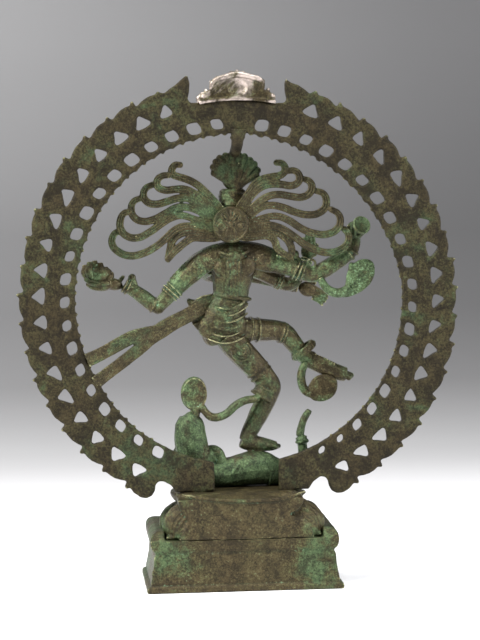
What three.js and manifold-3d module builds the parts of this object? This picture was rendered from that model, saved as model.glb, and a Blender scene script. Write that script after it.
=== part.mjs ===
// A nataraja statue: a four-armed dancer in a ring of flames, on a prone dwarf and a lotus pedestal.
// Millimetres, +Z up. The origin is the centre of the plinth's foot, on the floor.
// The dancer faces +Y. The flat back of the pedestal faces -Y, and +X is the dancer's right hand side.
// Each mesh is one casting or fitting. Castings meet at flat seams that stay GAP apart.
import * as THREE from "three";
import { mergeVertices } from "three/addons/utils/BufferGeometryUtils.js";
import Module from "manifold-3d";

const wasm = await Module();
wasm.setup();

// Driving dimensions.
const GAP = 0.3; // left between two castings that touch
const SIDES = 8; // facets round a limb
const FAR = 600; // longer than the statue, for saw blocks

const RING = { z: 292, inner: 164.5, outer: 197, y: -35.5, thick: 7 };
const HOLES = { flameFirst: 20.8, flamePitch: 7.5, flames: 18, innerFirst: 7.2, innerPitch: 7.6,
  inners: 20 };
const RING_FEET = { left: -28, right: 37, heel: 66, heelTop: 105 };
const TENON = { x: 44, width: 11, bottom: 86 };

const PLINTH = { deck: 52, deckThick: 6, wall: 6, depthShare: 0.609, back: -56.3 };
const LOTUS = { top: 98, back: -53, lipBack: -57, middleY: -14, depthShare: 0.725 };
const STUD = { x: 6, y: 0, radius: 5, bottom: 78, pinRadius: 2.2, pinLength: 28, pinZ: 87.4 };
const SOLE = { x: 17, long: 18, wide: 8, top: 137, bottom: 125 };

const bronze = { dark: 0x4a4030, green: 0x4f6b52, bright: 0x9a8c72 };

// ---------------------------------------------------------------- joining and cutting

function solid(geometry) {
  const bare = new THREE.BufferGeometry();
  const source = geometry.index ? geometry.toNonIndexed() : geometry;
  bare.setAttribute("position", source.getAttribute("position").clone());
  const merged = mergeVertices(bare, 1e-3);
  return new wasm.Manifold(
    new wasm.Mesh({
      numProp: 3,
      vertProperties: merged.getAttribute("position").array,
      triVerts: new Uint32Array(merged.index.array),
    }),
  );
}

function join(...pieces) {
  return pieces.reduce((whole, piece) => whole.add(piece));
}

function meshOf(name, made, colour, roughness = 0.6) {
  const out = made.getMesh();
  const geometry = new THREE.BufferGeometry();
  const corners = new Float32Array(out.triVerts.length * 3);
  out.triVerts.forEach((vertex, i) => {
    for (let k = 0; k < 3; k++) corners[3 * i + k] = out.vertProperties[out.numProp * vertex + k];
  });
  geometry.setAttribute("position", new THREE.BufferAttribute(corners, 3));
  geometry.computeVertexNormals();
  const material = new THREE.MeshStandardMaterial({ color: colour, roughness, metalness: 0.85 });
  const mesh = new THREE.Mesh(geometry, material);
  mesh.name = name;
  return mesh;
}

// ---------------------------------------------------------------- shapes

const vector = (x, y, z) => new THREE.Vector3(x, y, z);

function box(low, high) {
  const size = [0, 1, 2].map((k) => high[k] - low[k]);
  const middle = [0, 1, 2].map((k) => (high[k] + low[k]) / 2);
  return solid(new THREE.BoxGeometry(...size).translate(...middle));
}

function rod(from, to, radius, sides = 12, grow = 0) {
  const direction = vector(...to).sub(vector(...from));
  const turn = new THREE.Quaternion().setFromUnitVectors(vector(0, 1, 0), direction.clone().normalize());
  const wide = radius + grow;
  const geometry = new THREE.CylinderGeometry(wide, wide, direction.length() + 2 * grow, sides);
  geometry.translate(0, direction.length() / 2, 0).applyQuaternion(turn).translate(...from);
  return solid(geometry);
}

function ball(centre, radii, across = 14, down = 10) {
  const geometry = new THREE.SphereGeometry(1, across, down);
  return solid(geometry.scale(...radii).translate(...centre));
}

// A turned shape bent along a curve. Each stop is [x, y, z, radius], and the ends are rounded.
// A grown copy is what a neighbour is cut back with.
function limb(stops, { sides = SIDES, steps = 3, flat = 1, grow = 0 } = {}) {
  const curve = new THREE.CatmullRomCurve3(stops.map(([x, y, z]) => vector(x, y, z)), false, "centripetal");
  const count = (stops.length - 1) * steps;
  const radiusAt = (share) => {
    const place = share * (stops.length - 1);
    const low = Math.min(Math.floor(place), stops.length - 2);
    return THREE.MathUtils.lerp(stops[low][3], stops[low + 1][3], place - low) + grow;
  };
  const profile = [new THREE.Vector2(0, -1)];
  for (let i = 0; i <= count; i++) profile.push(new THREE.Vector2(radiusAt(i / count), i));
  profile.push(new THREE.Vector2(0, count + 1));
  const geometry = new THREE.LatheGeometry(profile, sides);
  const place = geometry.getAttribute("position");
  const across = vector(0, 1, 0);
  for (let v = 0; v < place.count; v++) {
    const station = THREE.MathUtils.clamp(place.getY(v), 0, count);
    const share = Math.round(station) / count;
    const centre = curve.getPoint(share);
    const along = curve.getTangent(share);
    const side = vector().crossVectors(across, along).normalize();
    const up = vector().crossVectors(side, along).normalize();
    const cap = (place.getY(v) - station) * radiusAt(share) * 0.6;
    const point = centre
      .addScaledVector(side, place.getX(v))
      .addScaledVector(up, place.getZ(v) * flat)
      .addScaledVector(along, cap);
    place.setXYZ(v, point.x, point.y, point.z);
  }
  return solid(geometry);
}

// A flat outline, drawn in X and Z, made a plate between two depths.
function plate(outline, back, front) {
  const shape = new THREE.Shape(outline.map(([x, z]) => new THREE.Vector2(x, z)));
  const geometry = new THREE.ExtrudeGeometry(shape, { depth: front - back, bevelEnabled: false });
  return solid(geometry.rotateX(Math.PI / 2).translate(0, front, 0));
}

// A ribbon of even width along a flat line of [x, z] points.
function ribbon(points, width, back, front) {
  const curve = new THREE.CatmullRomCurve3(points.map(([x, z]) => vector(x, 0, z)));
  const sides = [[], []];
  const steps = points.length * 3;
  for (let i = 0; i <= steps; i++) {
    const centre = curve.getPoint(i / steps);
    const along = curve.getTangent(i / steps);
    sides[0].push([centre.x - (along.z * width) / 2, centre.z + (along.x * width) / 2]);
    sides[1].unshift([centre.x + (along.z * width) / 2, centre.z - (along.x * width) / 2]);
  }
  return plate([...sides[0], ...sides[1]], back, front);
}

// A closed smooth outline through [x, z] points, as a plate.
function smoothPlate(points, back, front, steps = 2) {
  const curve = new THREE.CatmullRomCurve3(points.map(([x, z]) => vector(x, 0, z)), true, "centripetal");
  return plate(curve.getPoints(points.length * steps).slice(0, -1).map((p) => [p.x, p.z]), back, front);
}

// Cutting can leave a crumb beside the piece, which is dropped.
function largest(piece) {
  return piece.decompose().sort((a, b) => b.volume() - a.volume())[0];
}

// What lies past a plane through a point is sawn off.
function sawOff(piece, point, direction, width = FAR) {
  const turn = new THREE.Quaternion().setFromUnitVectors(vector(0, 0, 1), vector(...direction).normalize());
  const block = new THREE.BoxGeometry(width, width, width).translate(0, 0, width / 2);
  return piece.subtract(solid(block.applyQuaternion(turn).translate(...point)));
}

// What lies inside the ring's inner edge is kept.
function insideRing(piece) {
  return piece.intersect(rod([0, -80, RING.z], [0, 60, RING.z], RING.inner - 1.5 * GAP, 120));
}

// ---------------------------------------------------------------- pedestal

function rectangularTurning(profile) {
  const points = profile.map(([half, z]) => new THREE.Vector2(half * Math.SQRT2, z));
  const geometry = new THREE.LatheGeometry(points, 4).rotateX(Math.PI / 2).rotateZ(Math.PI / 4);
  return solid(geometry.scale(1, PLINTH.depthShare, 1));
}

function plinthShell() {
  const outside = [[0, 0], [98.5, 0], [98.5, 6], [95.5, 8], [93.2, 16], [92.5, 26], [92.5, 39], [91, 42],
    [94, 45], [95.5, 50], [95, 57], [91, 62], [86, 64], [80, 64], [80, PLINTH.deck], [0, PLINTH.deck]];
  const halfWidth = 92.5 - PLINTH.wall;
  const halfDepth = halfWidth * PLINTH.depthShare;
  const hollow = box([-halfWidth, -halfDepth, -1], [halfWidth, halfDepth, PLINTH.deck - PLINTH.deckThick]);
  const core = box([-54, -38, 0], [54, 28, PLINTH.deck + 1]);
  const { back, deck } = PLINTH;
  const shoulder = [[-9, deck], [0, deck], [2, 57], [7, 62], [14, 64.5], [-9, 64.5]];
  const bevel = new THREE.Shape(shoulder.map(([inward, z]) => new THREE.Vector2(back + inward, z)));
  const prism = new THREE.ExtrudeGeometry(bevel, { depth: 240, bevelEnabled: false });
  prism.rotateX(Math.PI / 2).rotateZ(Math.PI / 2).translate(120 - 240, 0, 0);
  const flatBack = box([-120, -80, 38], [120, back, 70]);
  const shelf = box([-80, -70, deck], [80, -48, 70]);
  const cuts = join(hollow, core, solid(prism), flatBack, shelf);
  return rectangularTurning(outside).subtract(cuts);
}

function ovalTurning(profile, segments = 28) {
  const points = profile.map(([half, z]) => new THREE.Vector2(half, z));
  const geometry = new THREE.LatheGeometry(points, segments).rotateX(Math.PI / 2);
  return solid(geometry.scale(1, LOTUS.depthShare, 1).translate(0, LOTUS.middleY, 0));
}

function lotusPedestal() {
  const foot = PLINTH.deck + GAP;
  const body = ovalTurning([[0, foot], [76, foot], [79.2, 57], [78.5, 66], [74, 74], [66, 79], [62, 81],
    [64, 87],
    [68, 92], [0, 93]]);
  const lip = ovalTurning([[0, 91], [68, 91], [69.5, 94], [66, LOTUS.top], [0, LOTUS.top]]);
  const flatBack = box([-120, -90, 0], [120, LOTUS.back, 120]);
  const lipCut = box([-120, -90, 0], [120, LOTUS.lipBack, 120]);
  const hollow = ovalTurning([[0, 40], [50, 40], [50, 84], [42, 90], [0, 90]], 20);
  const slots = [-1, 1].map((side) => tenon(side, GAP));
  const studHole = rod([STUD.x, STUD.y, 60], [STUD.x, STUD.y, 110], STUD.radius + GAP, 16);
  const shell = join(body.subtract(flatBack), lip.subtract(lipCut)).subtract(hollow);
  return shell.subtract(join(...slots, studHole));
}

// ---------------------------------------------------------------- flame ring

const onRing = (degrees, radius) => {
  const turn = THREE.MathUtils.degToRad(degrees);
  return [radius * Math.sin(turn), RING.z + radius * Math.cos(turn)];
};

function tenon(side, play = 0) {
  const half = TENON.width / 2 + play;
  const middle = side * TENON.x;
  const depth = RING.thick / 2 + play;
  const low = [middle - half, RING.y - depth, TENON.bottom - play];
  return box(low, [middle + half, RING.y + depth, LOTUS.top + 6]);
}

// One side of the outer edge, from the top down: the flames lean towards the top.
function flameEdge() {
  const edge = [[2.4, 197], [4.7, 197], [7, 197], [9.3, 197], [11.5, 197], [14.8, 198], [14.4, 204],
    [13, 213],
    [12.6, 224]];
  const flame = [[2, 217.5], [4.2, 218], [7, 214.5]];
  for (let i = 0; i < HOLES.flames; i++) {
    const tip = HOLES.flameFirst + HOLES.flamePitch * i - (i ? 0.3 : 0);
    if (i === 0) edge.push([16.5, 222], [19.3, 216.5]);
    edge.push([tip, 220.5]);
    if (i < HOLES.flames - 1) edge.push(...flame.map(([turn, radius]) => [tip + turn, radius]));
  }
  edge.push([150.5, 221.5], [153.4, 221.5], [155, 215], [155.4, 205], [155.8, 198.5]);
  return edge;
}

// The right half's holes sit further round, most of all beside the drum arm.
const lateTurn = (side, i, last) => (side > 0 ? 0.8 + 2.4 * Math.sin((Math.PI * i) / last) : 0);

function flameHole(side, i) {
  const middle = HOLES.flameFirst + HOLES.flamePitch * i + lateTurn(side, i, HOLES.flames - 1);
  const outline = [[-1.7, 194.5], [-1.5, 200], [0, 207], [1.8, 200], [2.8, 194.5]];
  return outline.map(([turn, radius]) => onRing(side * (middle + turn), radius));
}

function innerHole(side, i) {
  const middle = HOLES.innerFirst + HOLES.innerPitch * i + lateTurn(side, i, HOLES.inners - 1);
  const outline = [[-1.7, 178.5], [1.6, 178.5], [1.9, 170], [-1.9, 169.5]];
  return outline.map(([turn, radius]) => onRing(side * (middle + turn), radius));
}

function flameRing() {
  const right = flameEdge().map(([turn, radius]) => onRing(turn, radius));
  const left = flameEdge().map(([turn, radius]) => onRing(-turn, radius)).reverse();
  const floor = LOTUS.top + GAP;
  const footTurn = (x) => THREE.MathUtils.radToDeg(Math.asin(Math.abs(x) / RING.inner));
  const { heel, heelTop } = RING_FEET;
  const foot = (side, inner) => [[side * (heel + 5), heelTop], [side * heel, floor], [inner, floor]];
  const inside = [];
  const from = 180 - footTurn(RING_FEET.right);
  const to = -(180 - footTurn(RING_FEET.left));
  for (let i = 0; i <= 76; i++) inside.push(onRing(THREE.MathUtils.lerp(from, to, i / 76), RING.inner));
  const feet = [foot(1, RING_FEET.right), foot(-1, RING_FEET.left).reverse()];
  const outline = [...right, ...feet[0], ...inside, ...feet[1], ...left];
  const back = RING.y - RING.thick / 2;
  const front = RING.y + RING.thick / 2;
  const holes = [];
  for (const side of [-1, 1]) {
    for (let i = 0; i < HOLES.flames; i++) holes.push(plate(flameHole(side, i), back - 1, front + 1));
    for (let i = 0; i < HOLES.inners; i++) holes.push(plate(innerHole(side, i), back - 1, front + 1));
  }
  const tenons = [-1, 1].map((side) => tenon(side));
  return join(plate(outline, back, front).subtract(join(...holes)), ...tenons);
}

// A slanted bar from the ring's inner edge to the top of the crest.
function crestLink() {
  const bar = limb([[0.5, -35, 462, 8], [0, -33, 452, 6.5], [-0.5, -20, 442, 5.5], [-1, -4, 436, 5]]);
  const crest = featherCrest(GAP);
  return insideRing(bar).subtract(crest).subtract(crest.translate([0, 0, GAP]));
}

function ringFinial() {
  const seat = (x) => RING.z + Math.sqrt((RING.outer + GAP) ** 2 - x * x);
  const half = [[39, seat(39)], [37, 491], [33, 498], [26.5, 500], [27, 509], [16, 512], [12, 516.5],
    [6, 514]];
  const arc = [-26, -13, 0, 13, 26].map((x) => [x, seat(x)]);
  const outline = [...arc, ...half, [0, 518], ...half.map(([x, z]) => [-x, z]).reverse()];
  return plate(outline, RING.y - 6, RING.y + 8);
}

// ---------------------------------------------------------------- dwarf

function dwarfBlank(grow = 0) {
  const wide = { grow };
  return join(
    limb([[-40, 0, 112, 17], [-45, -5, 132, 15.5], [-48, -6, 150, 15.5], [-49, -5, 163, 12]], wide),
    limb([[-40, 2, 114, 17], [-14, 0, 113, 16], [8, 0, 117, 17], [26, 0, 117, 17], [46, 2, 109, 12]], wide),
    limb([[46, 2, 110, 11], [61, -4, 114, 7.5], [62.5, -6, 132, 5], [59, -6, 151, 5.5], [64, -6, 163, 4.6],
      [71, -6, 173, 4]], { steps: 2, grow }),
    limb([[-24, -4, 122, 9], [-19, -6, 133, 6.5]], wide),
    limb([[-52, 6, 142, 8], [-62, 18, 122, 6.5], [-50, 30, 105.5, 5.5],
      [-36, 34, 104, 4.5]], { steps: 2, grow }),
    limb([[-30, 12, 126, 8], [-20, 26, 112, 6], [-8, 34, 104, 4.5]], { steps: 2, grow }),
    ball([-49, 8, 158], [12 + grow, 13 + grow, 15 + grow]),
  );
}

function dwarfBody() {
  const floor = LOTUS.top + GAP;
  const ringFace = RING.y + RING.thick / 2 + GAP;
  const stud = rod([STUD.x, STUD.y, STUD.bottom], [STUD.x, STUD.y, floor + 8], STUD.radius, 12);
  const resting = sawOff(dwarfBlank(), [0, 0, floor], [0, 0, -1]);
  const flatTop = sawOff(resting, [17, 0, 132], [0, 0, 1], 34);
  const socket = box([SOLE.x - SOLE.long / 2 - GAP, -SOLE.wide / 2 - GAP, SOLE.bottom - GAP],
    [SOLE.x + SOLE.long / 2 + GAP, SOLE.wide / 2 + GAP, SOLE.top + 8]);
  const whole = sawOff(join(flatTop, stud), [0, ringFace, 0], [0, -1, 0]);
  return whole.subtract(socket).subtract(tangPin(GAP));
}

function dwarfSerpent() {
  const tail = limb([[22, -2, 187, 3.4], [10, -11, 186, 3.6], [-3, -13, 182, 3.8], [-13, -13, 174, 3.8],
    [-25, -13, 170.5, 3.8], [-36, -13, 176, 4.4], [-42, -12, 186, 5]], { sides: 8, steps: 2 });
  const hood = ball([-45, -12, 194.5], [13.2, 5, 17.5]);
  const neck = limb([[-44, -12, 184, 6], [-46, -8, 168, 6]], { steps: 1 });
  return join(tail, hood, neck).subtract(dwarfBlank(GAP)).subtract(standingLegBlank(GAP));
}

// The pin crosses the stud under the lotus deck and holds the dwarf down.
function tangPin(grow = 0) {
  const half = STUD.pinLength / 2;
  const from = [STUD.x - half, STUD.y, STUD.pinZ];
  return rod(from, [STUD.x + half, STUD.y, STUD.pinZ], STUD.pinRadius, 10, grow);
}

// ---------------------------------------------------------------- dancer

function torsoBlank(grow = 0) {
  const trunk = limb([[-3, 5, 342, 7], [-3, 5, 331, 15], [-3, 5, 318, 20.5], [-4, 5, 302, 17],
    [-5, 5, 290, 16.5],
    [-12, 5, 268, 21], [-17, 5, 254, 18], [-16, 5, 243, 10]], { sides: 12, steps: 2, flat: 0.78, grow });
  const shoulders = limb([[-32, 3, 324, 10], [-16, 3, 329, 11], [10, 3, 331, 11],
    [28, 2, 327, 10]], { grow });
  return join(trunk, shoulders);
}

function standingLegBlank(grow = 0) {
  const thigh = limb([[-12, 5, 248, 13], [5, 5, 233, 13], [19, 6, 218, 12], [32, 7, 199, 11.5],
    [29, 5, 186, 8.5],
    [20, 3, 168, 7.4], [11, 0, 150, 6.6], [8, 0, 142, 6.5]], { grow });
  const foot = limb([[5, 0, 140.5, 5.8], [20, 0, 140, 5.8], [33, 0, 138, 4.6],
    [40, 0, 138, 3.4]], { grow });
  return join(thigh, foot, rod([34, 5, 188], [29, 5, 181], 12, 16, grow));
}

function standingLeg() {
  const tang = box([SOLE.x - SOLE.long / 2, -SOLE.wide / 2, SOLE.bottom],
    [SOLE.x + SOLE.long / 2, SOLE.wide / 2, SOLE.top]);
  return join(standingLegBlank(), tang).subtract(torsoBlank(GAP)).subtract(raisedLegBlank(GAP));
}

function raisedLegBlank(grow = 0) {
  const leg = limb([[-6, 8, 257, 12], [12, 12, 257, 12], [30, 16, 255.5, 11.3], [46, 19, 254, 9.5],
    [54, 20, 248, 8.5],
    [63, 20, 238, 7.6], [75, 20, 224, 6.8]], { steps: 2, grow });
  const foot = limb([[75, 20, 225, 7], [90, 21, 216, 7.5], [104, 21, 211, 7.5],
    [117, 21, 207, 5.5]], { grow });
  return join(leg, foot, rod([67.5, 20, 237], [72.5, 20, 230.5], 14.5, 18, grow));
}

function fireArmBlank(grow = 0) {
  const arm = limb([[-24, 2, 329, 9.5], [-38, 1, 320, 10.5], [-54, 0, 307, 9], [-70, 0, 292, 7.4],
    [-80, 1, 284, 7.6],
    [-98, 2, 294, 7.4], [-115, 2, 305, 5.4]], { steps: 2, grow });
  const hand = limb([[-115, 2, 305, 5.4], [-127, 3, 308, 6.5], [-138, 3, 304.5, 7],
    [-147, 3, 305, 5.5]], { grow });
  return join(arm, hand);
}

function flameBowl() {
  const flame = limb([[-128, 2, 314, 4], [-138, 2, 317, 7.5], [-147, 2, 319, 8]], { sides: 12 });
  return flame.subtract(fireArmBlank(GAP));
}

function drumArmBlank(grow = 0) {
  return limb([[16, 2, 328, 9.5], [34, 1, 325, 10.5], [52, 0, 322, 10], [66, 0, 317, 8.4],
    [78, 0, 313, 8.6],
    [92, 0, 318, 7.8], [104, 0, 325, 7], [116, 0, 331, 6], [121, 0, 341, 5.5],
      [124, 1, 356, 5]], { steps: 2, grow });
}

function handDrum(grow = 0) {
  const profile = [[0, -9], [9.2, -9], [9.2, -6.5], [5.2, 0], [9.2, 6.5], [9.2, 9], [0, 9]];
  const grown = ([radius, along]) => new THREE.Vector2(radius && radius + grow,
    along + Math.sign(along) * grow);
  const geometry = new THREE.LatheGeometry(profile.map(grown), 16);
  return solid(geometry.rotateZ(-0.5).rotateX(0.35).translate(126, 2, 364.5));
}

function blessingArmBlank(grow = 0) {
  const arm = limb([[16, 12, 318, 8], [28, 15, 314, 7.8], [40, 17, 308, 7.5], [54, 18, 302, 7.2],
    [64, 22, 308, 6.8],
    [72, 29, 319, 6.2], [77, 34, 328, 5]], { steps: 2, grow });
  const palm = limb([[77, 35, 327, 5.5], [78, 36, 336, 7.8], [78.5, 37, 345, 7], [78.5, 37, 352, 4.5]],
    { flat: 0.6, grow });
  return join(arm, palm);
}

function pointingArm() {
  const arm = limb([[-26, 11, 321, 7.5], [-30, 22, 316, 7], [-22, 31, 312, 7.4], [-4, 35, 311, 7.4],
    [18, 36, 310, 6.8],
    [42, 36, 304.5, 6.4], [65, 34, 299, 5]], { steps: 2 });
  const hand = limb([[65, 34, 299, 5.2], [76, 33, 296, 6.8], [86, 32, 290, 6],
    [94, 31, 285, 3.5]], { steps: 2 });
  const neighbours = join(torsoBlank(GAP), fireArmBlank(GAP), blessingArmBlank(GAP));
  return join(arm, hand).subtract(neighbours);
}

function forearmSerpent() {
  const outline = [[117, 325], [125, 328], [137, 327], [142, 316], [140, 306], [131, 298], [116, 291],
    [104, 289],
    [96, 292], [86, 306], [92, 312], [99, 301], [105, 298.5], [110, 302], [112, 313]];
  return smoothPlate(outline, -9.5, -5).subtract(drumArmBlank(GAP));
}

function ankleSerpent() {
  const outline = [[75, 227], [66, 215], [64, 203], [68, 192], [76, 185], [89, 182], [98, 185],
    [103, 193], [103, 202],
    [95, 208], [85, 208], [80, 201], [76, 202], [73, 209], [79, 221]];
  return largest(smoothPlate(outline, 13, 18).subtract(raisedLegBlank(GAP)));
}

function headBlank(grow = 0) {
  const skull = ball([-4, 5, 366], [16 + grow, 15.5 + grow, 19.5 + grow]);
  const neck = limb([[-3, 5, 331, 9], [-4, 5, 352, 8]], { steps: 2, grow });
  const crown = limb([[-4, 4, 380, 14], [-3.5, 3, 389, 13.3],
    [-3.5, 2, 398, 12.5]], { sides: 12, steps: 1, grow });
  return join(skull, neck, crown);
}

function head() {
  return sawOff(headBlank(), [0, 0, 399], [0, 0, 1]).subtract(torsoBlank(GAP));
}

function featherCrest(grow = 0) {
  const outline = [[-13, 399.3], [-18, 408], [-27, 417], [-27, 424], [-21, 431], [-11, 436.5],
    [-6, 438.5], [5, 438.5],
    [10, 435.5], [18, 430], [24, 422], [23, 415], [15, 407], [10, 399.3]];
  return plate(outline, -7 - grow, 3 + grow);
}

function napeDisc() {
  return rod([-6.5, -20, 365], [-6.5, -15, 365], 18.5, 28);
}

// ---------------------------------------------------------------- hair, sash

const HAIR = { y: -12, radius: 3.3, rootRadius: 3 };

// Locks are [x, z] points from root to tip. Each curls up to touch the lock above it.
const leftLocks = [
  [[-19, 384], [-31, 397], [-42, 407], [-54, 413], [-63, 416], [-64, 423], [-58, 426]],
  [[-23, 379], [-42, 397], [-53, 402], [-63, 402], [-73, 401], [-80, 405], [-80, 412], [-70, 416]],
  [[-26, 374], [-37, 385], [-49, 392], [-60, 393], [-71, 390], [-83, 387], [-92, 390], [-94, 398],
    [-85, 406]],
  [[-28, 369], [-40, 379], [-53, 384], [-62, 383], [-73, 378], [-85, 372], [-96, 371], [-104, 375],
    [-106, 384],
    [-98, 393]],
  [[-28, 363], [-44, 371], [-56, 375], [-65, 374], [-76, 368], [-89, 359], [-101, 354], [-112, 356],
    [-118, 365],
    [-117, 374], [-109, 380]],
  [[-28, 359], [-40, 363], [-53, 364], [-63, 361], [-73, 352], [-83, 344], [-97, 337], [-109, 336],
    [-121, 340],
    [-126, 348], [-125, 357], [-117, 359]],
  [[-26, 353], [-40, 358], [-53, 359], [-62, 355], [-67, 349], [-71, 334]],
  [[-24, 351], [-36, 352], [-46, 353], [-59, 343], [-70, 333]],
];
const rightLocks = [
  [[4, 384], [13, 396], [18, 405], [27, 411], [38, 413], [47, 415], [50, 421], [43, 426]],
  [[8, 382], [17, 395], [25, 402], [36, 406], [47, 405], [58, 404], [64, 408], [63, 415], [54, 419]],
  [[13, 377], [22, 387], [31, 393], [43, 395], [56, 393], [67, 392], [75, 396], [77, 404], [70, 410]],
  [[16, 373], [25, 381], [34, 384], [47, 382], [60, 377], [73, 374], [86, 376], [91, 384], [91, 392],
    [83, 398]],
  [[17, 369], [28, 372], [41, 373], [53, 369], [67, 360], [80, 355], [93, 354], [103, 360], [106, 369],
    [97, 379]],
  [[18, 362], [34, 364], [45, 361], [58, 353], [69, 344], [82, 338], [95, 336], [107, 339], [114, 348],
    [110, 359]],
  [[14, 353], [27, 357], [39, 358], [49, 352], [55, 344], [56, 332]],
  [[15, 351], [25, 352], [36, 352], [44, 341], [55, 331]],
];

// The locks of one side spring from a plate that lies between the head and the disc.
function hairFan(locks, side) {
  const strands = locks.map((lock) => {
    const stops = lock.map(([x, z], i) => [x, HAIR.y, z, i ? HAIR.radius : HAIR.rootRadius]);
    return limb(stops, { sides: 5, steps: 2 });
  });
  const partingX = -6.5;
  const outline = [[0, -16], [0, 16], [10, 18], [26, 24], [44, 27], [46, -2], [34, -12], [12, -14]];
  const web = plate(outline.map(([out, up]) => [partingX + side * (out + GAP / 2), 365 + up]), -14.7, -5);
  // Beyond the head the plate thins towards the tips.
  const thin = sawOff(web, [side * 16 + partingX, -10, 0], [side, 1.2, 0], 200);
  return join(...strands, thin).subtract(headBlank(GAP));
}

const SASH = { thick: 4, width: 12.5, lean: 0.337, rootX: -27, rootY: 2 };

function sash() {
  const main = ribbon([[-8, 296], [-27, 288], [-44, 277], [-60, 271], [-75, 261],
    [-94, 252]], SASH.width + 2, -2, 2);
  const upper = ribbon([[-86, 256], [-104, 257], [-121, 249], [-135, 242], [-154, 234]], SASH.width, -2, 2);
  const lower = ribbon([[-86, 254], [-97, 242], [-109, 233], [-121, 224], [-133, 217],
    [-148, 209]], SASH.width, -2, 2);
  const knot = smoothPlate([[-27, 299], [-40, 295], [-49, 288], [-46, 280], [-48, 270], [-38, 258],
    [-30, 262],
    [-28, 280]], -3, 3);
  // Both ends keep clear of the hip and of the ring.
  const lean = new THREE.Matrix4().set(1, 0, 0, 0, SASH.lean, 1, 0, SASH.rootY - SASH.lean * SASH.rootX,
    0, 0, 1, 0, 0, 0, 0, 1);
  const flat = join(main, upper, lower, knot);
  const leant = solid(meshOf("sash_blank", flat, bronze.dark).geometry.applyMatrix4(lean));
  return insideRing(leant).subtract(torsoBlank(GAP)).subtract(standingLegBlank(GAP));
}

// ---------------------------------------------------------------- assembly

const torso = torsoBlank();
const fireArm = fireArmBlank().subtract(torsoBlank(GAP));
const drumArm = drumArmBlank().subtract(torsoBlank(GAP)).subtract(handDrum(GAP));
const blessingArm = blessingArmBlank().subtract(torsoBlank(GAP)).subtract(drumArmBlank(GAP));

const statue = new THREE.Group();
const nodes = [
  ["plinth_shell", plinthShell(), bronze.dark],
  ["lotus_pedestal", lotusPedestal(), bronze.green],
  ["flame_ring", flameRing(), bronze.dark],
  ["ring_finial", ringFinial(), bronze.bright],
  ["crest_link", crestLink(), bronze.dark],
  ["dwarf_body", dwarfBody(), bronze.green],
  ["dwarf_serpent", dwarfSerpent(), bronze.green],
  ["dwarf_tang_pin", tangPin(), bronze.dark],
  ["dancer_torso", torso, bronze.green],
  ["standing_leg", standingLeg(), bronze.green],
  ["raised_leg", raisedLegBlank().subtract(torsoBlank(GAP)), bronze.green],
  ["ankle_serpent", ankleSerpent(), bronze.green],
  ["fire_arm", fireArm, bronze.green],
  ["flame_bowl", flameBowl(), bronze.green],
  ["drum_arm", drumArm, bronze.green],
  ["hand_drum", handDrum(), bronze.green],
  ["blessing_arm", blessingArm, bronze.green],
  ["pointing_arm", pointingArm(), bronze.green],
  ["forearm_serpent", forearmSerpent(), bronze.green],
  ["head", head(), bronze.green],
  ["feather_crest", featherCrest(), bronze.green],
  ["nape_disc", napeDisc(), bronze.dark],
  ["hair_fan_left", hairFan(leftLocks, -1), bronze.dark],
  ["hair_fan_right", hairFan(rightLocks, 1), bronze.dark],
  ["sash", sash(), bronze.dark],
];
for (const [name, made, colour] of nodes) statue.add(meshOf(name, made, colour));

export default statue;
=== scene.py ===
import math
import bpy
from mathutils import Matrix, Vector


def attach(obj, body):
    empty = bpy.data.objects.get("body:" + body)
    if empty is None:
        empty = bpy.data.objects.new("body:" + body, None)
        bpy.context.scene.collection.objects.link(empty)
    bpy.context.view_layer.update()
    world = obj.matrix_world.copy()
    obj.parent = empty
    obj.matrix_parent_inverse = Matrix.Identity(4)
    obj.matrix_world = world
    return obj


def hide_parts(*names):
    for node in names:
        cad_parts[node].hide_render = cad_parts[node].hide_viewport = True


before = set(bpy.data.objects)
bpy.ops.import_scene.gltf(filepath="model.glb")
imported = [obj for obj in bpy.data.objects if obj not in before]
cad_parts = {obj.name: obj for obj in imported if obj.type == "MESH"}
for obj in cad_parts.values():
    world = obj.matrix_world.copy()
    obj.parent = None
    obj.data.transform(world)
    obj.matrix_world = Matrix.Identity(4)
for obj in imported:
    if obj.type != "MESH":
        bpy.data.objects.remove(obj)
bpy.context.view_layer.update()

mm = 0.001   # every table below is in millimetres


# camera and studio

studio = {
    "target": (0, -35, 270), "distance": 2200, "azimuth": -5, "elevation": 4, "roll": -0.75, "lens": 123.75,
    "world": 0.19,
    # grey of the sweep by depth: the paper's own near white on the floor, then painted light falloff and
    # shade darkening it up the wall
    "paperToneAndShade": [(0.0, 0.94), (0.13, 0.80), (0.22, 0.58), (0.33, 0.44), (0.42, 0.34), (0.54, 0.19),
              (0.64, 0.165), (0.72, 0.19), (0.86, 0.33), (1.0, 0.38)],
    "sheet": (14, 7, 1), "sheetPlace": (0, -2.6, 0), "bend": 1.5, "bendSteps": 24, "wall": 4,   # metres
    "lights": [("key", (-1750, -900, 1500), 0.55, 110, (1, 0.985, 0.95)),
               ("fill", (1850, -750, 1000), 0.7, 56),
               ("top", (0, -300, 1900), 0.9, 32), ("edge", (-900, 1300, 1100), 0.8, 7)],
}


def aimAt(item, place, target):
    item.location = Vector(place) * mm
    item.rotation_euler = (Vector(target) * mm - item.location).to_track_quat("-Z", "Y").to_euler()


def addCamera():
    turn, tilt = math.radians(studio["azimuth"]), math.radians(studio["elevation"])
    look = Vector((-math.sin(turn) * math.cos(tilt), math.cos(turn) * math.cos(tilt), -math.sin(tilt)))
    bpy.ops.object.camera_add()
    camera = bpy.context.object
    camera.data.lens = studio["lens"]
    camera.data.clip_end = 50
    aimAt(camera, Vector(studio["target"]) - look * studio["distance"], studio["target"])
    camera.rotation_euler.rotate_axis("Z", math.radians(studio["roll"]))
    bpy.context.scene.camera = camera


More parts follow.
